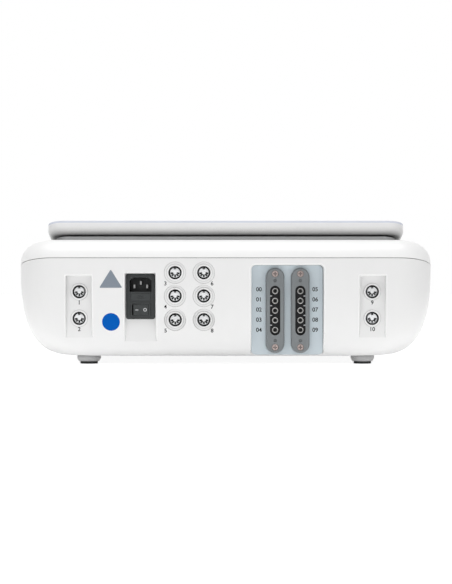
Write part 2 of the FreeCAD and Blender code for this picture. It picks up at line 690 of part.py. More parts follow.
def fillet(body, feature, level, radius):
    """Round all edges of a feature that lie at one level."""
    height = value_of(level)
    tolerance = 1e-6
    edges = []
    for number, edge in enumerate(feature.Shape.Edges, start=1):
        bounds = edge.BoundBox
        if abs(bounds.ZMin - height) < tolerance and abs(bounds.ZMax - height) < tolerance:
            edges.append(f"Edge{number}")
    rounding = body.newObject("PartDesign::Fillet", f"{body.Name}_fillet")
    rounding.Base = (feature, edges)
    bind(rounding, "Radius", radius)
    doc.recompute()


def rounded_block(name, width, depth, height, corner, top_round=None, bottom_round=None):
    """A block with round corners in plan, standing on its own z = 0, and a round upper or lower edge."""
    body = new_body(name)
    outline = new_sketch(body, f"{name}_outline")
    draw_rectangle(outline, width, depth, corner)
    block = pad(body, outline, height)
    if top_round is not None:
        fillet(body, block, height, top_round)
    if bottom_round is not None:
        fillet(body, block, 0, bottom_round)
    return body


def hull_ring(angle, inset):
    """One sloping section of the base: a rounded rectangle on the superellipse of the walls."""
    power = 2 / d.curve_power.value
    draw_in = 1 - math.cos(angle) ** power
    rise = 1 - math.sin(angle) ** power
    half = d.case_width.value / 2 - d.side_curve.value * draw_in - inset
    reach = d.case_depth.value / 2 - d.end_curve.value * draw_in - inset
    floor = hull_bottom.value + inset
    rear_level = floor + (d.rim_rear_height.value - floor) * rise
    front_level = floor + (d.rim_rear_height.value - seam_drop.value - floor) * rise
    slope = math.atan2(rear_level - front_level, d.case_depth.value)
    middle = Vector(0, 0, (rear_level + front_level) / 2)
    down = Vector(0, math.cos(slope), -math.sin(slope))
    along = reach / math.cos(slope)
    corner = d.plan_corner.value - inset
    bulge = corner * (1 - math.sqrt(0.5))

    def place(x, v):
        return middle + ACROSS * x + down * v

    edges = []
    for turn in range(4):
        right = (half, along) if turn % 2 == 0 else (along, half)
        spin = ((1, 0, 0, 1), (0, -1, 1, 0), (-1, 0, 0, -1), (0, 1, -1, 0))[turn]

        def spun(x, v):
            return place(spin[0] * x + spin[1] * v, spin[2] * x + spin[3] * v)

        w, h = right
        edges.append(Part.LineSegment(spun(corner - w, -h), spun(w - corner, -h)).toShape())
        ends = (spun(w - corner, -h), spun(w - bulge, bulge - h), spun(w, corner - h))
        edges.append(Part.Arc(*ends).toShape())
    return Part.Wire(edges)


def hull_solid(name, inset):
    """The base's outer or inner form: a loft from the flat bottom up to the sloping seam."""
    quarter = math.radians(QUARTER_TURN)
    angles = [quarter * (HULL_STEPS - step) / HULL_STEPS for step in range(HULL_STEPS + 1)]
    item = doc.addObject("Part::Feature", name)
    item.Shape = Part.makeLoft([hull_ring(angle, inset) for angle in angles], True, False)
    return item


def ports():
    """Where the ten round sockets sit: x, depth and height of each seat."""
    columns = (-d.port_column_left, -d.port_column_right)
    rows = (
        (d.port_row_upper, d.port_depth_upper),
        (d.port_row_middle, d.port_depth_middle),
        (d.port_row_lower, d.port_depth_lower),
    )
    sides = (d.side_port_upper, d.side_port_lower)
    places = [(-side_pocket_offset, d.side_pocket_depth, height) for height in sides]
    for column in columns:
        places += [(column, depth, height) for height, depth in rows]
    places += [(side_pocket_offset, d.side_pocket_depth, height) for height in sides]
    return places


def leads(middle):
    """The lead sockets of one block, from the top: x and height of each."""
    steps = [(LEADS_PER_BLOCK - 1) / 2 - index for index in range(LEADS_PER_BLOCK)]
    return [(middle, d.block_centre + d.lead_pitch * step) for step in steps]


def block_screws():
    places = []
    for middle in (d.block_left, d.block_right):
        places.append((middle, d.block_centre + d.block_screw_reach))
        places.append((middle, d.block_centre - d.block_screw_reach))
    return places


def case_posts():
    places = []
    for _, side in SIDES:
        places.append((side * post_offset, -post_rear))
        places.append((side * post_offset, post_front))
    return places


def boards():
    """The level boards: name, x and y of the middle, width and depth."""
    supply_x = d.supply_width / 2 - supply_left
    supply_y = d.supply_depth / 2 - supply_rear
    main_x = d.main_width / 2 - main_left
    main_y = d.main_depth / 2 - main_rear
    return (
        ("power_supply_board", supply_x, supply_y, d.supply_width, d.supply_depth),
        ("main_board", main_x, main_y, d.main_width, d.main_depth),
    )


def pocket_block(name, x, width, top, depth, grow):
    """The space of a wall pocket, or with grow the tub round it."""
    up = top + grow - hull_bottom
    sizes = (width + 2 * grow, depth + grow + d.shell_wall, up)
    return level_box(name, sizes, x, rear_edge + (depth + grow - d.shell_wall) / 2, hull_bottom)


def plate_pocket(name, grow):
    """The deep pocket of the lead plate, with round upper corners."""
    height = d.plate_pocket_top + grow - hull_bottom + d.plate_corner
    depth = plate_back + grow + d.shell_wall
    width = d.plate_pocket_width + 2 * grow
    body = rounded_block(name, width, height, depth, d.plate_corner + grow)
    return on_wall(body, d.plate_offset, plate_back + grow, d.plate_pocket_top + grow - height / 2)


def wall_pockets(prefix, grow):
    side = (d.side_pocket_width, d.side_pocket_top, d.side_pocket_depth, grow)
    inlet = (d.inlet_pocket_width, d.inlet_pocket_top, d.inlet_pocket_depth, grow)
    pieces = [
        pocket_block(f"{prefix}_left", -side_pocket_offset, *side),
        pocket_block(f"{prefix}_right", side_pocket_offset, *side),
        pocket_block(f"{prefix}_inlet", -d.inlet_offset, *inlet),
        plate_pocket(f"{prefix}_leads", grow),
    ]
    for x, depth, z in ports():
        if depth is not d.side_pocket_depth:
            length = depth + grow + d.shell_wall
            pieces.append(wall_rod(f"{prefix}_seat", d.port_seat_radius + grow, length, x, -d.shell_wall, z))
    return pieces


def base_holes():
    """Everything that passes through the base: sockets, inlet, lead cores, screws and foot pegs."""
    holes = []
    for x, depth, z in ports():
        radius = d.barrel_radius + d.running_clearance
        holes.append(wall_rod("port_hole", radius, THROUGH * d.shell_wall, x, depth - d.shell_wall, z))
    sizes = (
        d.inlet_body_width + 2 * d.fit_clearance,
        THROUGH * d.shell_wall,
        d.inlet_body_height + 2 * d.fit_clearance,
    )
    start = d.inlet_pocket_depth - d.shell_wall
    holes.append(wall_box("inlet_hole", sizes, -d.inlet_offset, start, d.inlet_height))
    for middle in (d.block_left, d.block_right):
        width = d.core_width + 2 * d.core_flange + 2 * d.fit_clearance
        height = d.core_height + 2 * d.core_flange + 2 * d.fit_clearance
        sizes = (width, THROUGH * d.shell_wall, height)
        holes.append(wall_box("core_hole", sizes, middle, plate_back - d.shell_wall, d.block_centre))
    for x, z in block_screws():
        radius = d.block_screw_radius + d.thread_play
        holes.append(wall_rod("lead_screw_hole", radius, THROUGH * d.shell_wall, x, plate_back - d.shell_wall, z))
    for x, y in case_posts():
        bore = d.case_screw_radius + d.screw_play
        sink = d.case_screw_head + d.head_play
        holes.append(upright_rod("post_bore", bore, d.post_meet, x, y, hull_bottom))
        holes.append(upright_rod("post_sink", sink, d.case_screw_sink, x, y, hull_bottom))
    for x, y in foot_places():
        radius = d.foot_peg_radius + d.fit_clearance
        holes.append(upright_rod("peg_hole", radius, 2 * d.shell_wall, x, y, hull_bottom - d.shell_wall))
    return holes


def base_supports():
    """Screw bosses and board pillars on the floor of the base."""
    pieces = []
    for x, y in case_posts():
        pieces.append(upright_rod("base_boss", d.post_radius, d.post_meet, x, y, hull_bottom))
    for _, x, y, width, depth in boards():
        for _, side in SIDES:
            for _, end in ENDS:
                at_x = x + side * (width / 2 - d.pillar_inset)
                at_y = y + end * (depth / 2 - d.pillar_inset)
                height = d.board_stand + d.shell_wall
                pieces.append(upright_rod("pillar", d.pillar_radius, height, at_x, at_y, hull_bottom))
    return pieces


def make_base_shell():
    outside = hull_solid("hull_outside", 0)
    inside = hull_solid("hull_inside", d.shell_wall.value)
    walls = cut("base_walls", outside, inside)
    tubs = common("base_tubs", outside, join("tub_blocks", *wall_pockets("tub", d.shell_wall)))
    solid = join("base_solid", walls, tubs, *base_supports())
    keep(cut("base_shell", solid, *wall_pockets("pocket", FLUSH), *base_holes()))


def seam_block(name, inset, height, corner_cut, z, top_round=None):
    """A block on the seam's outline, drawn in by an inset."""
    width = d.case_width - 2 * inset
    length = seam_length - 2 * inset
    body = rounded_block(name, width, length, height, d.plan_corner - corner_cut, top_round)
    return on_deck(body, 0, seam_length / 2, z)


def lip_notches():
    """Room in the lip for the backs of the upper socket seats, which rise close to the seam."""
    radius = d.port_seat_radius + d.shell_wall + d.fit_clearance
    length = d.port_depth_upper + 2 * d.shell_wall + d.fit_clearance
    notches = []
    for column in (d.port_column_left, d.port_column_right):
        notches.append(wall_rod("lip_notch", radius, length, -column, -d.shell_wall, d.port_row_upper))
    return notches


def make_top_shell():
    outside = seam_block("top_outside", FLUSH, deck - d.seam_gap, FLUSH, d.seam_gap, d.shoulder)
    wall = d.shell_wall
    inside = seam_block("top_inside", wall, deck_underside, wall, 0, d.shoulder - wall)
    lip_inset = d.shell_wall + d.lip_clearance
    lip = seam_block("lip_outside", lip_inset, 2 * d.lip_depth, lip_inset, -d.lip_depth)
    root_inset = d.shell_wall / 2
    root = seam_block("lip_root", root_inset, d.lip_depth, root_inset, 0)
    bore_inset = lip_inset + d.lip_wall
    bore = seam_block("lip_bore", bore_inset, 4 * d.lip_depth, bore_inset, -2 * d.lip_depth)
    lips = cut("lip_ring", join("lip_solid", lip, root), bore, *lip_notches())
    posts = []
    bores = []
    post_base = hull_bottom + d.post_meet
    for x, y in case_posts():
        posts.append(upright_rod("top_post", d.post_radius, d.rim_rear_height, x, y, post_base))
        radius = d.case_screw_radius + d.thread_play
        bores.append(upright_rod("post_thread", radius, d.case_screw_grip, x, y, post_base))
    sky_height = 2 * d.rim_rear_height
    sky_sizes = (2 * d.case_width, 2 * seam_length, sky_height)
    sky = deck_box("above_deck", sky_sizes, FLUSH, seam_length / 2, deck - wall / 2)
    legs = cut("top_posts", join("long_posts", *posts), sky)
    bosses = []
    for gap in range(KEY_COUNT - 1):
        x = d.key_first + d.key_pitch * gap + d.key_pitch / 2
        boss = rod("key_boss", d.key_boss_radius, deck - wall / 2 - key_board_top)
        bosses.append(on_deck(boss, x, key_v, key_board_top))
    shell = cut("top_walls", outside, inside)
    solid = join("top_solid", shell, lips, legs, *bosses)
    keep(cut("top_shell", solid, *bores, *deck_openings()))


def deck_openings():
    """The recorder's opening, its hinge pin's holes and the key holes."""
    drop = THROUGH * d.shell_wall
    rear = door_v - d.door_thickness / 2 - d.door_gap
    front = door_v + d.door_reach + d.door_gap + d.paper_slot
    sizes = (d.door_width + 2 * d.door_gap, front - rear, drop)
    openings = [deck_box("door_opening", sizes, -recorder_offset, (rear + front) / 2, deck - drop / 2)]
    length = d.door_width + 2 * d.door_gap + 2 * d.door_pin_grip
    radius = d.door_pin_radius + d.running_clearance
    openings.append(deck_rod("door_pin_hole", radius, length, -recorder_offset, door_v, door_axis_z))
    for x in key_places():
        width = d.key_width + 2 * d.key_gap
        depth = d.key_depth + 2 * d.key_gap
        hole = rounded_block("key_hole", width, depth, drop, d.key_corner + d.key_gap)
        openings.append(on_deck(hole, x, key_v, deck - drop / 2))
    return openings


def key_places():
    return [d.key_first + d.key_pitch * index for index in range(KEY_COUNT)]


def foot_places():
    return [(side * foot_offset, end * foot_reach) for _, side in SIDES for _, end in ENDS]


def make_feet():
    cups = []
    pads = []
    for x, y in foot_places():
        cup = new_body("foot_cup")
        profile = new_sketch(cup, "cup_profile", "XZ_Plane")
        recess = d.foot_pad_sink
        pad_hole = d.foot_pad_radius + d.fit_clearance
        draw_polygon(profile, (
            (0, recess),
            (pad_hole, recess),
            (pad_hole, 0),
            (d.foot_cup_low_radius, 0),
            (d.foot_cup_radius, d.foot_cup_height / 2),
            (d.foot_cup_radius, d.foot_cup_height),
            (d.foot_peg_radius, d.foot_cup_height),
            (d.foot_peg_radius, d.foot_cup_height + d.shell_wall),
            (0, d.foot_cup_height + d.shell_wall),
        ))
        turned = cup.newObject("PartDesign::Revolution", "cup_turned")
        turned.Profile = profile
        turned.ReferenceAxis = (profile, ["V_Axis"])
        turned.Angle = FULL_TURN
        cups.append(put(cup, x, y, d.foot_pad_drop))
        height = d.foot_pad_drop + d.foot_pad_sink
        pads.append(put(rod("rubber_pad", d.foot_pad_radius, height), x, y))
    keep(group("feet", cups))
    keep(group("foot_pads", pads))


def make_case_screws():
    screws = []
    for x, y in case_posts():
        seat = hull_bottom + d.case_screw_sink
        head = upright_rod("case_head", d.case_screw_head, d.case_screw_head_height, x, y,
                           seat - d.case_screw_head_height)
        length = d.post_meet - d.case_screw_sink + d.case_screw_grip
        shank = upright_rod("case_shank", d.case_screw_radius, length, x, y, seat)
        screws.append(join("case_screw", head, shank))
    keep(group("housing_screws", screws))


def make_port_core(x, depth, z):
    """The pale middle of a socket, with five contact slots and a guide key; its own z points outwards."""
    core = rod("port_core", d.port_core_radius, d.port_core_length)
    tools = []
    for angle in SLOT_ANGLES:
        height = d.port_slot_depth
        base = d.port_core_length - height
        tools.append(spoke("port_slot", d.port_slot_width, d.port_slot_length, 2 * height,
                           d.port_slot_start, base, angle))
    start = d.port_core_radius - d.port_key_length
    base = d.port_core_length - d.port_slot_depth
    tools.append(spoke("port_key", d.port_key_width, 2 * d.port_key_length, 2 * d.port_slot_depth,
                       start, base, 0.0))
    return on_wall(cut("port_insert", core, *tools), x, depth, z)


def spoke(name, width, length, height, start, base, angle):
    """A box that points from the axis outwards, at an angle from the upper side."""
    item = box(name, width, length, height)
    item.Placement = Placement(Vector(), Rotation(Vector(0, 0, 1), angle))
    side = math.cos(math.radians(angle))
    fore = math.sin(math.radians(angle))
    return put(item, -width / 2 * side - start * fore, start * side - width / 2 * fore, base)


def make_ports():
    bezels = []
    cores = []
    blades = []
    for number, (x, depth, z) in enumerate(ports(), start=1):
        front = depth - d.barrel_proud
        tube = wall_rod("barrel", d.barrel_radius, d.barrel_length, x, front, z)
        behind = depth + d.shell_wall
        collar = wall_rod("collar", d.barrel_collar_radius, d.barrel_collar_height, x, behind, z)
        hollow_length = d.barrel_length - d.barrel_floor
        hollow = wall_rod("hollow", d.barrel_radius - d.barrel_wall, hollow_length, x, front, z)
        keep(cut(f"din_socket_{number}", join("barrel_solid", tube, collar), hollow))
        ring = wall_rod("bezel", d.bezel_radius, d.bezel_height, x, depth - d.bezel_height, z)
        radius = d.barrel_radius + d.running_clearance
        ring_hole = wall_rod("bezel_hole", radius, 2 * d.bezel_height, x, depth - 1.5 * d.bezel_height, z)
        bezels.append(cut("port_bezel", ring, ring_hole))
        floor = front + hollow_length
        cores.append(make_port_core(x, floor, z))
        for angle in SLOT_ANGLES:
            start = d.port_slot_start + (d.port_slot_length - d.port_blade_length) / 2
            base = FLUSH
            blade = spoke("blade", d.port_blade_width, d.port_blade_length, d.port_blade_height,
                          start, base, angle)
            seat = floor - (d.port_core_length - d.port_slot_depth)
            blades.append(on_wall(group("port_blade", [blade]), x, seat, z))
    keep(group("din_bezels", bezels))
    keep(group("din_inserts", cores))
    keep(group("din_contacts", blades))


def make_inlet():
    """Mains inlet, fuse drawer and rocker switch in one housing that snaps into the wall."""
    body = new_body("inlet_moulding")
    flange = new_sketch(body, "flange_outline")
    draw_rectangle(flange, d.inlet_flange_width, d.inlet_flange_height, d.inlet_flange_corner)
    pad(body, flange, flange_face)
    stem = new_sketch(body, "stem_outline")
    draw_rectangle(stem, d.inlet_body_width, d.inlet_body_height, d.inlet_flange_corner / 2)
    pad(body, stem, d.inlet_body_depth, downwards=True)
    frame = new_sketch(body, "frame_outline", lift=flange_face)
    draw_rectangle(frame, d.rocker_frame_width, d.rocker_frame_height, d.inlet_flange_corner / 2,
                   0, -d.rocker_drop)
    pad(body, frame, d.rocker_frame_proud)
    well = new_sketch(body, "plug_outline", lift=flange_face)
    half = d.plug_width / 2
    top = d.plug_rise + d.plug_height / 2
    bottom = d.plug_rise - d.plug_height / 2
    draw_polygon(well, (
        (-half, bottom),
        (half, bottom),
        (half, top - d.plug_chamfer_down),
        (half - d.plug_chamfer_across, top),
        (d.plug_chamfer_across - half, top),
        (-half, top - d.plug_chamfer_down),
    ))
    pocket(body, well, d.plug_depth)
    slot = new_sketch(body, "drawer_outline", lift=flange_face)
    draw_rectangle(slot, d.drawer_width + 2 * d.drawer_play, d.drawer_height + 2 * d.drawer_play,
                   2 * d.drawer_play, 0, -d.fuse_drop)
    pocket(body, slot, d.drawer_well_depth)
    face = flange_face + d.rocker_frame_proud
    gap = new_sketch(body, "rocker_outline", lift=face)
    draw_rectangle(gap, d.rocker_width + 2 * d.rocker_play_across, d.rocker_height + 2 * d.rocker_play,
                   d.rocker_play, 0, -d.rocker_drop)
    pocket(body, gap, d.rocker_well_depth + d.rocker_frame_proud)
    on_wall(body, -d.inlet_offset, d.inlet_pocket_depth, d.inlet_height)
    length = d.rocker_height + 2 * d.rocker_play + 2 * d.trunnion_length
    pivot = upright_rod("pivot_hole", d.trunnion_radius + d.running_clearance, length,
                        *rocker_pivot(), d.inlet_height - d.rocker_drop - length / 2)
    keep(cut("inlet_housing", body, pivot))


def rocker_pivot():
    return -d.inlet_offset, rear_edge + d.inlet_pocket_depth - flange_face + d.rocker_pivot_sink


def make_rocker():
    """The rocker, made level and then swung to its off position about its upright pivot."""
    body = new_body("rocker_cap")
    profile = new_sketch(body, "rocker_profile")
    half = d.rocker_width / 2
    heel = d.rocker_heel / 2
    draw_polygon(profile, (
        (-half, -d.rocker_rise),
        (0, d.rocker_dip - d.rocker_rise),
        (half, -d.rocker_rise),
        (half, -d.trunnion_radius),
        (heel, d.rocker_back),
        (-heel, d.rocker_back),
        (-half, -d.trunnion_radius),
    ))
    pad(body, profile, d.rocker_height)
    length = d.rocker_height + 2 * d.trunnion_length
    pin = put(rod("rocker_pin", d.trunnion_radius, length), 0, 0, -d.trunnion_length)
    rocker = join("power_rocker", body, pin)
    rocker.Placement = Placement(Vector(), Rotation(Vector(0, 0, 1), d.rocker_throw.value / 2))
    bind(rocker, "Placement.Rotation.Angle", d.rocker_throw / 2)
    keep(put(rocker, *rocker_pivot(), d.inlet_height - d.rocker_drop - d.rocker_height / 2))


def make_inlet_pins():
    pins = []
    middle = d.inlet_height + d.plug_rise
    face = d.inlet_pocket_depth - flange_face
    for side, rise in ((-1, -1), (0, 1), (1, -1)):
        sizes = (d.pin_width, d.plug_depth - d.pin_recess, d.pin_height)
        x = side * d.pin_spacing - d.inlet_offset
        pins.append(wall_box("mains_pin", sizes, x, face + d.pin_recess, middle + rise * d.pin_stagger))
    keep(group("inlet_pins", pins))


def make_fuse_drawer():
    height = d.inlet_height - d.fuse_drop
    face = d.inlet_pocket_depth - flange_face - d.drawer_proud
    front_sizes = (d.drawer_width, d.drawer_front, d.drawer_height)
    front = wall_box("drawer_face", front_sizes, -d.inlet_offset, face, height)
    step = 2 * d.drawer_carrier_step
    carrier_sizes = (d.drawer_width - step, d.drawer_length - d.drawer_front, d.drawer_height - step)
    carrier = wall_box("drawer_carrier", carrier_sizes, -d.inlet_offset, face + d.drawer_front, height)
    troughs = []
    fuses = []
    start = face + d.drawer_front + (d.drawer_length - d.drawer_front - d.fuse_length) / 2
    for _, side in SIDES:
        x = side * d.fuse_spacing - d.inlet_offset
        radius = d.fuse_radius + d.fit_clearance
        length = d.fuse_length + 2 * d.fit_clearance
        troughs.append(wall_rod("trough", radius, length, x, start - d.fit_clearance, height))
        sizes = (2 * radius, length, d.drawer_height)
        troughs.append(wall_box("trough_mouth", sizes, x, start - d.fit_clearance,
                                height + d.drawer_height / 2))
        fuses.append(wall_rod("fuse", d.fuse_radius, d.fuse_length, x, start, height))
    keep(cut("fuse_drawer", join("drawer_solid", front, carrier), *troughs))
    keep(group("fuses", fuses))


def make_lead_plate():
    width = d.plate_pocket_width - 2 * d.plate_gap
    top = d.plate_pocket_top - d.plate_gap
    height = top - d.plate_bottom
    plate = rounded_block("plate_sheet", width, height, d.plate_thickness, d.plate_corner - d.plate_gap)
    on_wall(plate, d.plate_offset, plate_back, top - height / 2)
    holes = []
    for middle in (d.block_left, d.block_right):
        hole = new_body("core_slot")
        outline = new_sketch(hole, "core_slot_outline")
        draw_stadium(outline, d.core_width + 2 * d.fit_clearance, d.core_height + 2 * d.fit_clearance)
        pad(hole, outline, THROUGH * d.plate_thickness)
        holes.append(on_wall(hole, middle, plate_back + d.plate_thickness, d.block_centre))
    for x, z in block_screws():
        radius = d.block_screw_radius + d.screw_play
        holes.append(wall_rod("plate_screw_hole", radius, THROUGH * d.plate_thickness, x,
                              d.plate_front_depth - d.plate_thickness, z))
    keep(cut("socket_plate", plate, *holes))


def tab_boxes(name, middle, outward, grow):
    """Keying tabs between neighbouring sockets, on the outer edge of a core."""
    pieces = []
    for gap in range(LEADS_PER_BLOCK - 1):
        z = d.block_centre + d.lead_pitch * (gap - (LEADS_PER_BLOCK - 2) / 2)
        sizes = (d.tab_length + 2 * grow, d.block_thickness + 2 * grow, d.tab_height + 2 * grow)
        x = middle + outward * d.core_width / 2
        pieces.append(wall_box(name, sizes, x, block_face - grow, z))
    return pieces


def make_lead_block(name, middle, outward):
    block = new_body(f"{name}_moulding")
    outline = new_sketch(block, "block_outline")
    draw_stadium(outline, d.block_width, d.block_height)
    raised = pad(block, outline, d.block_thickness)
    fillet(block, raised, d.block_thickness, d.block_edge)
    slot = new_sketch(block, "slot_outline", lift=d.block_thickness)
    draw_stadium(slot, d.core_width + 2 * d.fit_clearance, d.core_height + 2 * d.fit_clearance)
    pocket(block, slot, 2 * d.block_thickness)
    rings = (
        (d.block_screw_head + d.head_play, d.block_screw_reach, d.block_screw_sink),
        (d.block_screw_radius + d.screw_play, d.block_screw_reach, 2 * d.block_thickness),
        (d.dimple_radius, d.dimple_reach, d.dimple_depth),
    )
    for radius, reach, depth in rings:
        holes = new_sketch(block, "round_holes", lift=d.block_thickness)
        draw_circle(holes, radius, 0, reach)
        draw_circle(holes, radius, 0, -reach)
        pocket(block, holes, depth)
    on_wall(block, middle, d.plate_front_depth, d.block_centre)
    keep(join(name, block, *tab_boxes("tab", middle, outward, FLUSH)))


def make_lead_core(name, middle, outward):
    core = new_body(f"{name}_moulding")
    outline = new_sketch(core, "core_outline")
    draw_stadium(outline, d.core_width, d.core_height)
    pad(core, outline, d.core_length, downwards=True)
    on_wall(core, middle, core_face, d.block_centre)
    flange = new_body(f"{name}_flange")
    rim = new_sketch(flange, "rim_outline")
    draw_stadium(rim, d.core_width + 2 * d.core_flange, d.core_height + 2 * d.core_flange)
    pad(flange, rim, d.core_flange_height, downwards=True)
    on_wall(flange, middle, plate_back, d.block_centre)
    tools = tab_boxes("tab_slot", middle, outward, d.fit_clearance)
    for x, z in leads(middle):
        radius = d.lead_sleeve_radius + d.fit_clearance
        tools.append(wall_rod("sleeve_hole", radius, 2 * d.core_length, x, block_face, z))
    keep(cut(name, join(f"{name}_solid", core, flange), *tools))


def make_lead_contacts():
    contacts = []
    for middle in (d.block_left, d.block_right):
        for x, z in leads(middle):
            sleeve = wall_rod("sleeve", d.lead_sleeve_radius, d.lead_sleeve_length, x, lead_face, z)
            bore = wall_rod("lead_bore", d.lead_bore_radius, d.lead_bore_depth, x, lead_face, z)
            tail = wall_rod("lead_tail", d.lead_tail_radius, d.lead_tail_length, x, lead_back, z)
            contacts.append(join("lead_contact", cut("lead_sleeve", sleeve, bore), tail))
    keep(group("lead_contacts", contacts))


def make_lead_screws():
    screws = []
    for x, z in block_screws():
        under_head = block_face + d.block_screw_sink
        front = under_head - d.block_screw_head_height
        head = wall_rod("lead_head", d.block_screw_head, d.block_screw_head_height, x, front, z)
        shank = wall_rod("lead_shank", d.block_screw_radius, d.block_screw_length, x, under_head, z)
        bars = []
        for across, up in ((d.cross_length, d.cross_width), (d.cross_width, d.cross_length)):
            bars.append(wall_box("cross_bar", (across, 2 * d.cross_depth, up), x, front - d.cross_depth, z))
        screws.append(cut("lead_screw", join("lead_screw_solid", head, shank), *bars))
    keep(group("lead_block_screws", screws))


def make_lead_blocks():
    for (side, outward), middle in zip(SIDES, (d.block_left, d.block_right)):
        make_lead_block(f"lead_block_{side}", middle, outward)
        make_lead_core(f"lead_insert_{side}", middle, outward)
    make_lead_contacts()
    make_lead_screws()


def make_boards():
    for name, x, y, width, depth in boards():
        keep(level_box(name, (width, depth, d.board_thickness), x, y, board_level))
    top = board_level + d.board_thickness
    (_, supply_x, supply_y, supply_width, supply_depth), (_, main_x, main_y, _, _) = boards()
    sizes = (d.transformer_width, d.transformer_depth, d.transformer_height)
    left = supply_x - supply_width / 2 + d.transformer_width / 2 + d.supply_inset
    keep(level_box("supply_transformer", sizes, left, supply_y, top))
    right = supply_x + supply_width / 2 - d.capacitor_radius - d.supply_inset
    cans = []
    for _, end in ENDS:
        y = supply_y + end * d.capacitor_spacing
        cans.append(upright_rod("capacitor", d.capacitor_radius, d.capacitor_height, right, y, top))
    keep(group("supply_capacitors", cans))
    cooler_sizes = (d.processor_side, d.processor_side, d.processor_height)
    chips = [level_box("processor", cooler_sizes, main_x, main_y, top)]
    for _, side in SIDES:
        memory_sizes = (d.memory_side, d.memory_side, d.memory_height)
        x = main_x + side * (d.processor_side / 2 + d.memory_spacing)
        chips.append(level_box("memory", memory_sizes, x, main_y, top))
    keep(group("main_board_chips", chips))
    middle = (d.block_left + d.block_right) / 2
    start = lead_back + d.lead_tail_length
    board_sizes = (d.lead_board_width, d.board_thickness, d.lead_board_height)
    board = wall_box("amplifier_board", board_sizes, middle, start, d.block_centre)
    can_sizes = (d.can_width, d.can_depth, d.can_height)
    can = wall_box("amplifier_can", can_sizes, middle, start + d.board_thickness, d.block_centre)
    keep(group("lead_amplifier_board", [board, can]))


def hinge_rods(name, radius, side):
    """A rod through one display hinge, long enough for both ears."""
    length = d.knuckle_width + 2 * d.ear_gap + 2 * d.ear_width
    return deck_rod(name, radius, length, side * d.hinge_offset, hinge_v, hinge_z)


def make_cradle():
    length = cradle_front - cradle_rear
    plate = rounded_block("cradle_plate", cradle_width, length, d.cradle_proud, d.cradle_corner)
    on_deck(plate, 0, (cradle_front + cradle_rear) / 2, deck)
    ears = []
    bores = []
    pins = []
    for _, side in SIDES:
        for _, end in ENDS:
            reach = d.knuckle_width / 2 + d.ear_gap + d.ear_width / 2
            x = side * d.hinge_offset + end * reach
            sizes = (d.ear_width, d.ear_back - d.ear_front, hinge_z - deck - d.cradle_proud / 2)
            v = hinge_v - (d.ear_back + d.ear_front) / 2
            ears.append(deck_box("ear_web", sizes, x, v, deck + d.cradle_proud / 2))
            ears.append(deck_rod("ear_eye", d.knuckle_radius, d.ear_width, x, hinge_v, hinge_z))
        bores.append(hinge_rods("ear_bore", d.hinge_pin_radius + d.running_clearance, side))
        pins.append(hinge_rods("tilt_pin", d.hinge_pin_radius, side))
    keep(cut("display_cradle", join("cradle_solid", plate, *ears), *bores))
    keep(group("hinge_pins", pins))
    bumpers = []
    for _, side in SIDES:
        for v in (bumper_rear, bumper_front):
            bumper = rod("bumper", d.bumper_radius, d.slab_gap - d.bumper_play)
            bumpers.append(on_deck(bumper, side * bumper_offset, v, cradle_top))
    keep(group("display_bumpers", bumpers))


def make_hinge_arms():
    for side_name, side in SIDES:
        x = side * d.hinge_offset
        sizes = (d.knuckle_width, d.arm_back, cover_top - hinge_z)
        strap = deck_box("arm_strap", sizes, x, hinge_v - d.arm_back / 2, hinge_z)
        eye = deck_rod("arm_eye", d.knuckle_radius, d.knuckle_width, x, hinge_v, hinge_z)
        bore = hinge_rods("arm_bore", d.hinge_pin_radius + d.running_clearance, side)
        keep(cut(f"hinge_arm_{side_name}", join("arm_solid", strap, eye), bore))


def cover_screw_places():
    offsets = (cover_screw_outer, d.cover_screw_inner)
    ends = (d.slab_rear + d.cover_screw_inset, slab_front - d.cover_screw_inset)
    return [(side * offset, v) for _, side in SIDES for offset in offsets for v in ends]


def make_back_cover():
    wall = d.cover_wall
    outside = rounded_block("cover_outside", slab_width, slab_depth, d.cover_height, d.slab_corner,
                            bottom_round=d.cover_round)
    on_deck(outside, 0, slab_middle, cover_bottom)
    inside = rounded_block("cover_inside", slab_width - 2 * wall, slab_depth - 2 * wall, d.cover_height,
                           d.slab_corner - wall, bottom_round=d.cover_round - wall)
    on_deck(inside, 0, slab_middle, cover_bottom + wall)
    tools = [inside]
    for _, side in SIDES:
        sizes = (d.notch_width, d.notch_back + d.notch_front, 4 * d.cover_height)
        v = hinge_v + (d.notch_front - d.notch_back) / 2
        tools.append(deck_box("cover_notch", sizes, side * d.hinge_offset, v, cover_bottom - d.cover_height))
    for x, v in cover_screw_places():
        hole = rod("cover_screw_hole", d.cover_screw_radius + d.screw_play, THROUGH * wall)
        tools.append(on_deck(hole, x, v, cover_bottom - wall))
    keep(cut("display_back_cover", outside, *tools))


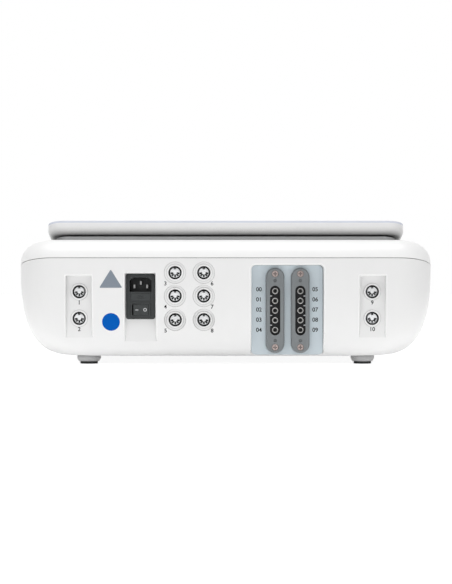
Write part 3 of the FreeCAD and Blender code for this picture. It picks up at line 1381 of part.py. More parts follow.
def make_display():
    frame = rounded_block("frame_outside", slab_width, slab_depth, d.frame_height, d.slab_corner)
    on_deck(frame, 0, slab_middle, cover_top)
    panel_middle = panel_rear + panel_depth / 2
    window = rounded_block("frame_window", panel_width + 2 * d.panel_gap,
                           panel_depth + 2 * d.panel_gap, THROUGH * d.frame_height, d.panel_corner)
    on_deck(window, 0, panel_middle, cover_top - d.frame_height)
    tools = [window]
    screws = []
    for x, v in cover_screw_places():
        thread = rod("frame_thread", d.cover_screw_radius + d.thread_play, d.cover_screw_grip)
        tools.append(on_deck(thread, x, v, cover_top))
        head = rod("cover_head", d.cover_screw_head, d.cover_screw_head_height)
        on_deck(head, x, v, cover_bottom - d.cover_screw_head_height)
        shank = rod("cover_shank", d.cover_screw_radius, d.cover_height + d.cover_screw_grip)
        on_deck(shank, x, v, cover_bottom)
        screws.append(join("cover_screw", head, shank))
    keep(cut("display_frame", frame, *tools))
    keep(group("display_screws", screws))
    glass = rounded_block("display_glass", slab_width, slab_depth, d.glass_height, d.slab_corner)
    keep(on_deck(glass, 0, slab_middle, frame_top))
    panel_base = cover_bottom + d.cover_wall
    panel_sizes = (panel_width, panel_depth, frame_top - panel_base)
    keep(deck_box("lcd_module", panel_sizes, 0 * deck, panel_middle, panel_base))


def make_recorder_frame():
    """The bucket that holds the paper, hung below the deck on its flange."""
    x = -recorder_offset
    v = bucket_rear + d.bucket_length / 2
    wall = 2 * d.bucket_wall
    outer_sizes = (d.bucket_width + wall, d.bucket_length + wall, d.bucket_depth + d.bucket_wall)
    bottom = deck_underside - d.bucket_depth - d.bucket_wall
    outer = deck_box("bucket_outside", outer_sizes, x, v, bottom)
    ledge = 2 * d.bucket_ledge
    ledge_sizes = (d.bucket_width + ledge, d.bucket_length + ledge, d.bucket_ledge_height)
    flange = deck_box("bucket_flange", ledge_sizes, x, v, deck_underside - d.bucket_ledge_height)
    inner_sizes = (d.bucket_width, d.bucket_length, 2 * d.bucket_depth)
    inner = deck_box("bucket_inside", inner_sizes, x, v, bottom + d.bucket_wall)
    radius = d.journal_radius + d.running_clearance
    span = d.bucket_width + 2 * wall
    bores = [
        deck_rod("spindle_bore", radius, span, x, roll_v, roll_z),
        deck_rod("platen_bore", radius, span, x, platen_v, platen_z),
    ]
    keep(cut("recorder_frame", join("bucket_solid", outer, flange), inner, *bores))


def make_paper_feed():
    x = -recorder_offset
    wall = 2 * d.bucket_wall
    roller = deck_rod("platen_rubber", d.platen_radius, d.platen_width, x, platen_v, platen_z)
    shaft_length = d.bucket_width + wall + d.motor_shaft_reach
    shaft_x = x + d.motor_shaft_reach / 2
    shaft = deck_rod("platen_shaft", d.journal_radius, shaft_length, shaft_x, platen_v, platen_z)
    keep(join("platen_roller", roller, shaft))
    motor_x = x + d.bucket_width / 2 + d.bucket_wall + d.motor_length / 2
    can = deck_rod("motor_can", d.motor_radius, d.motor_length, motor_x, platen_v, platen_z)
    bore_length = 2 * (d.motor_shaft_reach + d.fit_clearance)
    bore_x = x + d.bucket_width / 2 + d.bucket_wall
    radius = d.journal_radius + d.running_clearance
    bore = deck_rod("motor_bore", radius, bore_length, bore_x, platen_v, platen_z)
    keep(cut("feed_motor", can, bore))
    roll = deck_rod("roll_paper", d.roll_radius, d.roll_width, x, roll_v, roll_z)
    hole = deck_rod("roll_hole", d.roll_bore, 2 * d.roll_width, x, roll_v, roll_z)
    keep(cut("paper_roll", roll, hole))
    core = deck_rod("spindle_core", d.spindle_radius, d.spindle_width, x, roll_v, roll_z)
    ends = deck_rod("spindle_ends", d.journal_radius, d.bucket_width + wall, x, roll_v, roll_z)
    keep(join("paper_spindle", core, ends))


def make_recorder_door():
    x = -recorder_offset
    sizes = (d.door_width, d.door_reach, d.door_thickness)
    leaf = deck_box("door_leaf", sizes, x, door_v + d.door_reach / 2, deck - d.door_thickness)
    barrel = deck_rod("door_barrel", d.door_thickness / 2, d.door_width, x, door_v, door_axis_z)
    radius = d.door_pin_radius + d.running_clearance
    bore = deck_rod("door_bore", radius, 2 * d.door_width, x, door_v, door_axis_z)
    keep(cut("paper_door", join("door_solid", leaf, barrel), bore))
    length = d.door_width + 2 * d.door_gap + 2 * d.door_pin_grip
    keep(deck_rod("door_hinge_pin", d.door_pin_radius, length, x, door_v, door_axis_z))
    head_sizes = (d.head_width, d.head_depth, d.head_height)
    head_base = deck - d.door_thickness - d.head_height
    keep(deck_box("print_head", head_sizes, x, platen_v, head_base))


def make_keys():
    for number, x in enumerate(key_places(), start=1):
        height = d.key_proud + deck - key_flange_top
        cap = rounded_block("key_cap", d.key_width, d.key_depth, height, d.key_corner, d.key_edge)
        on_deck(cap, x, key_v, key_flange_top)
        width = d.key_width + 2 * d.key_flange
        depth = d.key_depth + 2 * d.key_flange
        base = key_flange_top - d.key_flange_height
        rim = rounded_block("key_rim", width, depth, d.key_flange_height, d.key_corner)
        on_deck(rim, x, key_v, base)
        stem = rod("key_stem", d.key_stem_radius, d.key_stem_length)
        on_deck(stem, x, key_v, base - d.key_stem_length)
        keep(join(f"key_{number}", cap, rim, stem))
    span = d.key_pitch * (KEY_COUNT - 1)
    sizes = (span + d.key_width + 2 * d.key_board_margin, d.key_board_depth, d.board_thickness)
    middle = d.key_first + span / 2
    keep(deck_box("key_board", sizes, middle, key_v, key_board_top - d.board_thickness))


def check_model():
    """Stop if any object failed or any sub-part has no sound shape."""
    doc.recompute()
    for item in doc.Objects:
        if "Invalid" in item.State or "Error" in item.State:
            raise RuntimeError(f"{item.Name} failed: {item.State}")
    for item in nodes:
        if item.Shape.isNull() or not item.Shape.isValid():
            raise RuntimeError(f"{item.Label} has no sound shape")


def write_parts():
    os.makedirs("parts", exist_ok=True)
    for item in nodes:
        item.Shape.exportStep(os.path.join("parts", f"{item.Label}.step"))


make_base_shell()
make_top_shell()
make_feet()
make_case_screws()
make_ports()
make_inlet()
make_rocker()
make_inlet_pins()
make_fuse_drawer()
make_lead_plate()
make_lead_blocks()
make_boards()
make_cradle()
make_hinge_arms()
make_back_cover()
make_display()
make_recorder_frame()
make_paper_feed()
make_recorder_door()
make_keys()
check_model()
write_parts()
for node in nodes:
    print(node.Label, len(node.Shape.Solids), round(node.Shape.Volume))
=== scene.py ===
import json
import math

import bmesh
import bpy
from mathutils import Matrix, Vector
from mathutils.bvhtree import BVHTree


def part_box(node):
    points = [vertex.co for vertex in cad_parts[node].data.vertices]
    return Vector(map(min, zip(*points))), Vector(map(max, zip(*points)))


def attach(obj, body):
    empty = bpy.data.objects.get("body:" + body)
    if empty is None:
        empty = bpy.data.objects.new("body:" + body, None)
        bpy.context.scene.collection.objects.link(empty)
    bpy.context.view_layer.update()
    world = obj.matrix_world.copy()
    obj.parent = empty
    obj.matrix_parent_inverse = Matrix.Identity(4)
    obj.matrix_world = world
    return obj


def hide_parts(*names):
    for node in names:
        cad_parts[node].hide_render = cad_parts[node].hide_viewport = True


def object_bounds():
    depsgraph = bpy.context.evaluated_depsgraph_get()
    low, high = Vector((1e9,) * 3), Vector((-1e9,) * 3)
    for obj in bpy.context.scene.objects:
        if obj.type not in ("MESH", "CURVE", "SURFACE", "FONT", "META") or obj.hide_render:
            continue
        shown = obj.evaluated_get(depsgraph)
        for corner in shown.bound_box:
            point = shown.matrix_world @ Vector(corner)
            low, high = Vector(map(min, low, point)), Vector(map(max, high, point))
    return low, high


# The looks of a table-top ECG console, seen from its socket wall. Metres, in the part's own frame.
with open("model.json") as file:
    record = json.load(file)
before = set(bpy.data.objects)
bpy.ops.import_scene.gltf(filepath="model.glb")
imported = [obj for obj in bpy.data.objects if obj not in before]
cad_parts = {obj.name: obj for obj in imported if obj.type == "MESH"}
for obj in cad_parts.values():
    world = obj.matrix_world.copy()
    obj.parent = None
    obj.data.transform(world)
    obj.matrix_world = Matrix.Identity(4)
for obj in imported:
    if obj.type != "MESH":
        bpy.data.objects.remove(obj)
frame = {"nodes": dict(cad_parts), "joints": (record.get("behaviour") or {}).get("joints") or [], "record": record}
cad_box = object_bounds()
nodes = frame["nodes"]
joints = {joint["name"]: joint for joint in frame["joints"]}
mounts = {mount["name"]: mount for mount in frame["record"]["mounts"]}

MM = 0.001
OUTWARD = Vector((0, -1, 0))
UP = Vector((0, 0, 1))
ACROSS = Vector((1, 0, 0))
QUARTER_TURN = math.radians(90)
# The keys travel straight into the deck, so their axis gives its slope.
deck_normal = -Vector(joints["key_1_press"]["axis"]).normalized()
down_slope = ACROSS.cross(deck_normal) * -1

# What finishes are made of. A noise scale counts waves per metre.
DRIFT_DETAIL = 3.0
# The levels of noise between which a colour drifts from its darker to its paler shade.
DRIFT_SPAN = (0.3, 0.7)
GRAIN_DETAIL = 2.0
PAINTED_SHADE_SAMPLES = 6
EDGE_SAMPLES = 4
# How far painted shade reaches: within this distance of other surfaces a colour is darkened as if shaded.
PAINTED_SHADE_REACH = 4 * MM
finishes = {}


def new_finish(name):
    """A bare finish: its node tree and its shader, to be filled in."""
    material = bpy.data.materials.new(name)
    finishes[name] = material
    material.use_nodes = True
    tree = material.node_tree
    return tree, tree.nodes["Principled BSDF"]


def add_node(tree, kind, **sockets):
    """A shader node with the given sockets set; an underscore stands for a space."""
    node = tree.nodes.new(kind)
    for socket, value in sockets.items():
        node.inputs[socket.replace("_", " ")].default_value = value
    return node


def opaque(colour):
    return (*colour, 1)


def shade_of(colour, factor):
    """A colour made darker or paler, but never more than white."""
    return opaque(min(1, channel * factor) for channel in colour)


def object_noise(tree, scale, detail):
    """Noise that is fixed to the piece, in its own coordinates."""
    place = tree.nodes.new("ShaderNodeTexCoord")
    noise = add_node(tree, "ShaderNodeTexNoise", Scale=scale, Detail=detail)
    tree.links.new(place.outputs["Object"], noise.inputs["Vector"])
    return noise.outputs["Fac"]


def vary_colour(tree, shader, colour, spread, scale, shade_reach=PAINTED_SHADE_REACH):
    """Let a colour drift a little over the surface, and darken it with painted shade in crevices, gaps and hollows
    near other surfaces.
    """
    ramp = tree.nodes.new("ShaderNodeValToRGB")
    low, high = ramp.color_ramp.elements
    low.position, high.position = DRIFT_SPAN
    low.color = shade_of(colour, 1 - spread)
    high.color = shade_of(colour, 1 + spread)
    tree.links.new(object_noise(tree, scale, DRIFT_DETAIL), ramp.inputs["Fac"])
    # Painted shade: the colour is darkened where other surfaces stand near.
    shade = add_node(tree, "ShaderNodeAmbientOcclusion", Distance=shade_reach)
    shade.samples = PAINTED_SHADE_SAMPLES
    tree.links.new(ramp.outputs["Color"], shade.inputs["Color"])
    tree.links.new(shade.outputs["Color"], shader.inputs["Base Color"])


def vary_roughness(tree, shader, rough, scale):
    low, high = rough
    span = add_node(tree, "ShaderNodeMapRange", To_Min=low, To_Max=high)
    tree.links.new(object_noise(tree, scale, DRIFT_DETAIL), span.inputs["Value"])
    tree.links.new(span.outputs["Result"], shader.inputs["Roughness"])


def grain(tree, shader, scale, strength, depth, edge):
    """Fine surface grain, over edges that are rounded by a small radius."""
    bump = add_node(tree, "ShaderNodeBump", Strength=strength, Distance=depth)
    rounded = add_node(tree, "ShaderNodeBevel", Radius=edge)
    rounded.samples = EDGE_SAMPLES
    tree.links.new(object_noise(tree, scale, GRAIN_DETAIL), bump.inputs["Height"])
    tree.links.new(rounded.outputs["Normal"], bump.inputs["Normal"])
    tree.links.new(bump.outputs["Normal"], shader.inputs["Normal"])


def moulded(name, colour, rough=(0.38, 0.5), spread=0.012, grain_scale=2600.0, edge=0.4 * MM, shine=0.4,
            shade_reach=PAINTED_SHADE_REACH):
    """Moulded plastic: a fine spark-eroded grain and a slight drift of colour and gloss."""
    tree, shader = new_finish(name)
    shader.inputs["Specular IOR Level"].default_value = shine
    vary_colour(tree, shader, colour, spread, scale=9.0, shade_reach=shade_reach)
    vary_roughness(tree, shader, rough, scale=60.0)
    grain(tree, shader, grain_scale, strength=0.12, depth=0.05 * MM, edge=edge)


def metal(name, colour, rough=(0.22, 0.4), spread=0.05, scuff_scale=900.0, shade_reach=PAINTED_SHADE_REACH):
    """Plated or brushed metal with fine scuffs."""
    tree, shader = new_finish(name)
    shader.inputs["Metallic"].default_value = 1.0
    vary_colour(tree, shader, colour, spread, scale=220.0, shade_reach=shade_reach)
    vary_roughness(tree, shader, rough, scuff_scale)
    grain(tree, shader, scuff_scale, strength=0.08, depth=0.03 * MM, edge=0.2 * MM)


def rubber(name, colour):
    """Dull rubber with a coarse grain."""
    tree, shader = new_finish(name)
    vary_colour(tree, shader, colour, spread=0.12, scale=140.0)
    vary_roughness(tree, shader, rough=(0.65, 0.85), scale=300.0)
    grain(tree, shader, scale=1800.0, strength=0.3, depth=0.08 * MM, edge=0.4 * MM)


GLASS_IOR = 1.5
GLASS_SMEARS = 30.0


def pane(name, tint):
    """Clear glass with a slight tint."""
    tree, shader = new_finish(name)
    shader.inputs["Transmission Weight"].default_value = 1.0
    shader.inputs["IOR"].default_value = GLASS_IOR
    vary_colour(tree, shader, tint, spread=0.02, scale=6.0)
    vary_roughness(tree, shader, rough=(0.02, 0.07), scale=GLASS_SMEARS)


# How squarely the glass faces along the deck's normal, as a cosine, at its edge, where pale light is painted, and
# on its flat face.
SCREEN_FACING = (0.8, 0.97)


def dark_screen(name, edge, face):
    """Glass over a screen that is off: dark on its flat face, with pale light painted on its edge, where the glass
    turns from the deck.
    """
    tree, shader = new_finish(name)
    place = tree.nodes.new("ShaderNodeTexCoord")
    facing = tree.nodes.new("ShaderNodeVectorMath")
    facing.operation = "DOT_PRODUCT"
    facing.inputs[1].default_value = deck_normal
    ramp = tree.nodes.new("ShaderNodeValToRGB")
    rim, flat = ramp.color_ramp.elements
    rim.position, flat.position = SCREEN_FACING
    # Painted light: the edge colour is pale where the glass turns away from the deck's normal.
    rim.color = opaque(edge)
    flat.color = opaque(face)
    tree.links.new(place.outputs["Normal"], facing.inputs[0])
    tree.links.new(facing.outputs["Value"], ramp.inputs["Fac"])
    tree.links.new(ramp.outputs["Color"], shader.inputs["Base Color"])
    vary_roughness(tree, shader, rough=(0.04, 0.10), scale=GLASS_SMEARS)


TRACK_SCALE = 240.0
TRACK_WIDTH = 0.03
MASK_SHADE = 0.8


def circuit_board(name, mask, copper):
    """Solder mask with paler tracks."""
    tree, shader = new_finish(name)
    place = tree.nodes.new("ShaderNodeTexCoord")
    tracks = add_node(tree, "ShaderNodeTexBrick", Scale=TRACK_SCALE, Mortar_Size=TRACK_WIDTH,
                      Color1=opaque(mask), Color2=shade_of(mask, MASK_SHADE), Mortar=opaque(copper))
    tree.links.new(place.outputs["Object"], tracks.inputs["Vector"])
    tree.links.new(tracks.outputs["Color"], shader.inputs["Base Color"])
    vary_roughness(tree, shader, rough=(0.3, 0.45), scale=200.0)


# Finishes of the object. Those that bear the name of a record slot dress its nodes.

def make_case_finishes():
    """The two shells, the rims of their pockets, and the feet."""
    moulded("case_white", (0.81, 0.81, 0.808), rough=(0.3, 0.42), edge=0.5 * MM, shine=0.55, shade_reach=0.6 * MM)
    # A paler copy of the case white: painted light on the top shell.
    moulded("top_painted_light", (0.89, 0.89, 0.888), rough=(0.3, 0.42), edge=0.5 * MM, shine=0.55, shade_reach=1.2 * MM)
    # A paler copy of the case white: painted highlight on the pocket rims.
    moulded("rim_painted_highlight", (0.89, 0.89, 0.888), shade_reach=0.3 * MM)
    moulded("foot_grey", (0.86, 0.86, 0.865), rough=(0.4, 0.55))
    rubber("foot_rubber", (0.045, 0.045, 0.05))


def make_socket_finishes():
    """The mains inlet, the round sockets, and the lead plate with its blocks."""
    # The long shade reaches paint shade deep in the inlet's cavity, round its pins and in the lead sockets' bores.
    moulded("inlet_charcoal", (0.043, 0.047, 0.048), rough=(0.4, 0.5), shine=0.25, shade_reach=8 * MM)
    metal("pin_dull", (0.22, 0.22, 0.22), rough=(0.35, 0.5), shade_reach=6 * MM)
    moulded("socket_black", (0.008, 0.008, 0.009), rough=(0.4, 0.55), shine=0.15)
    moulded("socket_silver", (0.86, 0.87, 0.88), rough=(0.3, 0.45), spread=0.04, shade_reach=1.0 * MM)
    # Near-black contacts: painted shade in the holes of the round sockets.
    metal("contact_painted_shade", (0.03, 0.03, 0.032), rough=(0.45, 0.6))
    moulded("plate_blue", (0.625, 0.70, 0.745), rough=(0.3, 0.42), spread=0.02, shade_reach=1.2 * MM)
    moulded("block_grey", (0.195, 0.21, 0.218), rough=(0.35, 0.5), shade_reach=1.0 * MM)
    moulded("tab_grey", (0.50, 0.51, 0.52), rough=(0.4, 0.5), shade_reach=0.3 * MM)
    metal("screw_copper", (0.33, 0.275, 0.26), rough=(0.3, 0.45), spread=0.12)
    metal("lead_brass", (0.82, 0.81, 0.80), rough=(0.3, 0.45), shade_reach=7 * MM)


def make_display_finishes():
    # Long shade reaches paint the shade in the gap under the display: on the back cover's underside and on the
    # cradle's top.
    moulded("display_white", (0.80, 0.80, 0.805), shade_reach=5 * MM)
    moulded("cover_painted_shade", (0.79, 0.79, 0.785), shade_reach=18 * MM)
    moulded("cradle_grey", (0.40, 0.405, 0.41), rough=(0.45, 0.6), shade_reach=7 * MM)
    moulded("panel_black", (0.004, 0.005, 0.007), rough=(0.12, 0.2))
    dark_screen("screen_glass", edge=(0.66, 0.69, 0.78), face=(0.006, 0.007, 0.010))


def make_deck_finishes():
    """The keys and the recorder with its paper."""
    moulded("key_grey", (0.33, 0.37, 0.41), rough=(0.4, 0.5))
    moulded("recorder_grey", (0.26, 0.27, 0.29))
    moulded("paper_white", (0.88, 0.88, 0.86), rough=(0.8, 0.95), spread=0.02, grain_scale=900.0,
            shade_reach=1 * MM)


def make_inner_finishes():
    """Boards and what stands on them, fuses, the feed motor, pins and plain screws."""
    moulded("inner_black", (0.015, 0.015, 0.017), shine=0.15)
    circuit_board("board_green", mask=(0.012, 0.10, 0.035), copper=(0.10, 0.26, 0.10))
    pane("fuse_glass", (0.85, 0.90, 0.90))
    metal("steel", (0.30, 0.30, 0.31))
    metal("can_metal", (0.62, 0.63, 0.64))
    metal("transformer_core", (0.18, 0.18, 0.19), rough=(0.5, 0.7), spread=0.2)


def make_print_finishes():
    """Inks of the printed numbers and the two stickers."""
    moulded("print_dark", (0.012, 0.013, 0.015), rough=(0.5, 0.6), shine=0.1)
    moulded("print_pale", (0.62, 0.63, 0.64), rough=(0.5, 0.6))
    moulded("sticker_slate", (0.225, 0.26, 0.305), rough=(0.45, 0.55), spread=0.05, shine=0.1)
    moulded("sticker_blue", (0.0, 0.10, 0.46), rough=(0.45, 0.6), spread=0.06, shine=0.05)


# Nodes whose finish differs from that of their slot. The top shell's is a paler copy of the case white, which
# paints light on it.
NODE_FINISHES = {
    "top_shell": "top_painted_light",
    # The back cover's finish has a long reach of painted shade, for the dark gap below the display.
    "display_back_cover": "cover_painted_shade",
    # Near-black contacts: painted shade in the holes of the round sockets.
    "din_contacts": "contact_painted_shade",
    "inlet_pins": "pin_dull",
}


def dress_nodes():
    """Give every CAD node the finish of its record slot, or its own shade of it."""
    for part in frame["record"]["subparts"]:
        finish = NODE_FINISHES.get(part["node"], part["material_slot"])
        mesh = nodes[part["node"]].data
        mesh.materials.clear()
        mesh.materials.append(finishes[finish])


# What all pieces of the scene share

# How far behind the object the lines of sight start that find its surfaces.
SIGHT_LEAD = 10 * MM


def surface_of(name):
    return BVHTree.FromObject(nodes[name], bpy.context.evaluated_depsgraph_get())


def point_behind(surface, x, z):
    """The place and outward direction of a surface behind a point of the rear view."""
    hit, normal, _, _ = surface.ray_cast(Vector((x, cad_box[0].y - SIGHT_LEAD, z)), -OUTWARD)
    return hit, normal if normal.y < 0 else -normal


def add_piece(name, mesh, finish, body):
    piece = bpy.data.objects.new(name, mesh)
    bpy.context.scene.collection.objects.link(piece)
    mesh.materials.append(finishes[finish])
    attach(piece, body)
    return piece


def form_mesh(name, form):
    """A mesh of a finished form, which is used up."""
    mesh = bpy.data.meshes.new(name)
    form.to_mesh(mesh)
    form.free()
    return mesh


def curve_mesh(name, curve):
    """A mesh of a line of text or a round bar, both drawn as curves."""
    source = bpy.data.objects.new(name, curve)
    bpy.context.scene.collection.objects.link(source)
    bpy.context.view_layer.update()
    graph = bpy.context.evaluated_depsgraph_get()
    mesh = bpy.data.meshes.new_from_object(source.evaluated_get(graph))
    bpy.data.objects.remove(source)
    return mesh


def face_matrix(origin, out, up):
    """Axes of a print: x to the right, y up, z out of the surface."""
    upright = (up - out * up.dot(out)).normalized()
    right = upright.cross(out)
    return Matrix.Translation(origin) @ Matrix((right, upright, out)).transposed().to_4x4()


PRINT_FILM = 0.02 * MM
# Height of a figure, and how much its strokes gain in the press: shares of the type size and of the height.
FIGURE_HEIGHT = 0.69
STROKE_GAIN = 0.03


def print_words(name, words, height, origin, out, up, finish, body):
    """A printed number or mark, as a thin mesh on its surface."""
    curve = bpy.data.curves.new(name, "FONT")
    curve.body = words
    curve.size = height / FIGURE_HEIGHT
    curve.align_x = "CENTER"
    curve.align_y = "CENTER"
    curve.extrude = PRINT_FILM / 2
    curve.offset = height * STROKE_GAIN
    mesh = curve_mesh(name, curve)
    mesh.transform(face_matrix(origin + out * PRINT_FILM / 2, out, up))
    add_piece(name, mesh, finish, body)


RIDGE_ROUNDING = 0.45
RIDGE_SEGMENTS = 3


def add_ridges(name, count, pitch, size, origin, out, up, finish, body):
    """A row of small rounded bars, one above the other."""
    form = bmesh.new()
    for index in range(count):
        rise = (index - (count - 1) / 2) * pitch
        place = Matrix.Translation((0, rise, 0)) @ Matrix.Diagonal((*size, 1))
        bmesh.ops.create_cube(form, size=1, matrix=place)
    bmesh.ops.bevel(form, geom=form.edges[:], offset=min(size) * RIDGE_ROUNDING, affect="EDGES",
                    segments=RIDGE_SEGMENTS, profile=0.5, material=-1)
    bmesh.ops.transform(form, matrix=face_matrix(origin, out, up), verts=form.verts)
    add_piece(name, form_mesh(name, form), finish, body)


# The rear wall: stickers, numbers and the rims of its pockets

rear_wall = surface_of("base_shell")
STICKER_FILM = 0.05 * MM


def lay_sticker(name, form, finish, slices):
    """Press a flat form, drawn in the view's plane, onto the rear wall."""
    for direction in (UP, ACROSS):
        levels = [vertex.co.dot(direction) for vertex in form.verts]
        low, high = min(levels), max(levels)
        for index in range(1, slices):
            level = direction * (low + (high - low) * index / slices)
            geometry = form.verts[:] + form.edges[:] + form.faces[:]
            bmesh.ops.bisect_plane(form, geom=geometry, plane_co=level, plane_no=direction)
    for vertex in form.verts:
        hit, normal = point_behind(rear_wall, vertex.co.x, vertex.co.z)
        vertex.co = hit + normal * STICKER_FILM
    bmesh.ops.recalc_face_normals(form, faces=form.faces)
    if sum(face.normal.y for face in form.faces) > 0:
        bmesh.ops.reverse_faces(form, faces=form.faces)
    add_piece(name, form_mesh(name, form), finish, "housing")


STICKER_X = -125.4 * MM
TRIANGLE_LOW = 85.3 * MM
TRIANGLE_HIGH = 105.4 * MM
TRIANGLE_WIDTH = 25 * MM
TRIANGLE_CORNER = 1.2 * MM
TRIANGLE_CORNER_SEGMENTS = 5
TRIANGLE_SLICES = 6
DISC_HEIGHT = 48 * MM
DISC_RADIUS = 9.7 * MM
DISC_SEGMENTS = 64
DISC_SLICES = 14


def add_triangle_sticker():
    form = bmesh.new()
    half = TRIANGLE_WIDTH / 2
    places = ((-half, TRIANGLE_LOW), (half, TRIANGLE_LOW), (0, TRIANGLE_HIGH))
    corners = [form.verts.new((STICKER_X + x, 0, z)) for x, z in places]
    form.faces.new(corners)
    bmesh.ops.bevel(form, geom=form.verts[:], offset=TRIANGLE_CORNER, affect="VERTICES",
                    segments=TRIANGLE_CORNER_SEGMENTS, profile=0.5, material=-1)
    lay_sticker("triangle_sticker", form, "sticker_slate", TRIANGLE_SLICES)


def add_round_sticker():
    form = bmesh.new()
    bmesh.ops.create_circle(form, cap_ends=True, segments=DISC_SEGMENTS, radius=DISC_RADIUS)
    stand = Matrix.Translation((STICKER_X, 0, DISC_HEIGHT)) @ Matrix.Rotation(QUARTER_TURN, 4, "X")
    bmesh.ops.transform(form, matrix=stand, verts=form.verts)
    lay_sticker("round_sticker", form, "sticker_blue", DISC_SLICES)


PORT_COUNT = 10
PORT_NUMBER_HEIGHT = 4.2 * MM
PORT_NUMBER_DROP = 12.0 * MM
LEFT_COLUMN = (3, 4, 5)
LEFT_COLUMN_SHIFT = -10.5 * MM
RIGHT_COLUMN = (6, 7, 8)
RIGHT_COLUMN_SHIFT = 9.0 * MM


def port_number_shift(port):
    """The numbers of the two middle columns stand aside of their ports, and all others below them."""
    if port in LEFT_COLUMN:
        return LEFT_COLUMN_SHIFT
    if port in RIGHT_COLUMN:
        return RIGHT_COLUMN_SHIFT
    return 0


def add_port_numbers():
    for port in range(1, PORT_COUNT + 1):
        x, _, z = mounts[f"port_{port}"]["pos_m"]
        hit, normal = point_behind(rear_wall, x + port_number_shift(port), z - PORT_NUMBER_DROP)
        print_words(f"port_number_{port}", str(port), PORT_NUMBER_HEIGHT, hit, normal, UP,
                    "print_dark", "housing")


RIM_RADIUS = 1.5 * MM
RIM_SINK = 1.4 * MM
RIM_STEP = 4 * MM
RIM_CORNER_STEPS = 6
RIM_ROUNDNESS = 3
# Pockets of the rear wall: middle, half width, upper edge, lower end of the rim and corner radius, in mm.
POCKETS = {
    "plate_rim": (67.55, 40.9, 111.5, 16.0, 6.0),
    "left_pocket_rim": (-160.6, 15.3, 100.0, 32.0, 2.0),
    "right_pocket_rim": (160.6, 15.3, 100.0, 32.0, 2.0),
    "inlet_rim": (-93.3, 18.1, 102.5, 28.0, 2.0),
}


def arch(half, top, bottom, corner):
    """Points of an upright arch, in mm: up its left side, over two round corners, down its right side."""
    spring = top - corner
    rises = int((spring - bottom) / (RIM_STEP / MM))
    side = [(-half, bottom + (spring - bottom) * step / rises) for step in range(rises)]
    turn = []
    for step in range(RIM_CORNER_STEPS + 1):
        angle = QUARTER_TURN * (2 - step / RIM_CORNER_STEPS)
        turn.append((-half + corner + corner * math.cos(angle), spring + corner * math.sin(angle)))
    left = side + turn
    return left + [(-x, z) for x, z in reversed(left)]


def add_pocket_rims():
    """The rounded edge round each pocket, which catches the light, in a paler white that paints its highlight."""
    for name, (middle, half, top, bottom, corner) in POCKETS.items():
        curve = bpy.data.curves.new(name, "CURVE")
        curve.dimensions = "3D"
        curve.bevel_depth = RIM_RADIUS
        curve.bevel_resolution = RIM_ROUNDNESS
        curve.use_fill_caps = True
        points = arch(half, top, bottom, corner)
        line = curve.splines.new("POLY")
        line.points.add(len(points) - 1)
        for point, (x, z) in zip(line.points, points):
            hit, normal = point_behind(rear_wall, (middle + x) * MM, z * MM)
            point.co = (*(hit - normal * RIM_SINK), 1)
        mesh = curve_mesh(name, curve)
        mesh.shade_smooth()
        add_piece(name, mesh, "rim_painted_highlight", "housing")


# The lead plate: numbers, turned sockets and the tabs between them

LEADS_PER_BLOCK = 5
LEAD_NUMBER_HEIGHT = 4.4 * MM
LEAD_NUMBER_PITCH = 11.2 * MM
LEAD_NUMBER_MIDDLE = 61.1 * MM
LEAD_NUMBER_PLACES = (36.6 * MM, 98.7 * MM)


def add_lead_numbers():
    """Two-digit numbers on the pale plate, left of the left block and right of the right one."""
    plate_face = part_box("socket_plate")[0].y
    for column, x in enumerate(LEAD_NUMBER_PLACES):
        for row in range(LEADS_PER_BLOCK):
            words = f"{column * LEADS_PER_BLOCK + row:02d}"
            rise = ((LEADS_PER_BLOCK - 1) / 2 - row) * LEAD_NUMBER_PITCH
            origin = Vector((x, plate_face, LEAD_NUMBER_MIDDLE + rise))
            print_words(f"lead_number_{words}", words, LEAD_NUMBER_HEIGHT, origin, OUTWARD, UP,
                        "print_dark", "housing")


# The first lead of each block, and the side on which its tabs stand.
LEAD_BLOCKS = {"left": (0, -1), "right": (LEADS_PER_BLOCK, 1)}
# A turned lead socket with its solder tail: radius and depth behind its front, in mm.
LEAD_PROFILE = (
    (0, 16), (2.0, 16), (2.0, 1.4), (2.2, 1.0), (2.8, 0.1), (2.9, 0), (3.05, 0), (3.25, 0.2),
    (3.25, 20), (0.8, 20), (0.8, 27.7), (0.5, 28), (0, 28),
)
LEAD_TURN_STEPS = 40
LEAD_WELD = 0.01 * MM
LEAD_SHARP_ANGLE = math.radians(35)


def lead_place(index):
    return Vector(mounts[f"lead_socket_{index:02d}"]["pos_m"])


def add_lead_contacts():
    """Ten turned sockets with a thin lip and a countersunk bore, in place of the plain sleeves."""
    form = bmesh.new()
    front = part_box("lead_contacts")[0].y
    for index in range(LEADS_PER_BLOCK * len(LEAD_BLOCKS)):
        place = lead_place(index)
        centre = Vector((place.x, front, place.z))
        points = [form.verts.new(centre + Vector((radius, depth, 0)) * MM) for radius, depth in LEAD_PROFILE]
        edges = [form.edges.new(pair) for pair in zip(points, points[1:])]
        bmesh.ops.spin(form, geom=points + edges, cent=centre, axis=OUTWARD, angle=math.tau,
                       steps=LEAD_TURN_STEPS, use_merge=True)
    bmesh.ops.remove_doubles(form, verts=form.verts, dist=LEAD_WELD)
    bmesh.ops.recalc_face_normals(form, faces=form.faces)
    mesh = form_mesh("lead_turnings", form)
    mesh.shade_smooth()
    mesh.set_sharp_from_angle(angle=LEAD_SHARP_ANGLE)
    turnings = add_piece("lead_turnings", mesh, "lead_brass", "housing")
    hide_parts("lead_contacts")


TAB_SIZE = (2.2 * MM, 0.9 * MM, 0.5 * MM)
TAB_REACH = 4.4 * MM


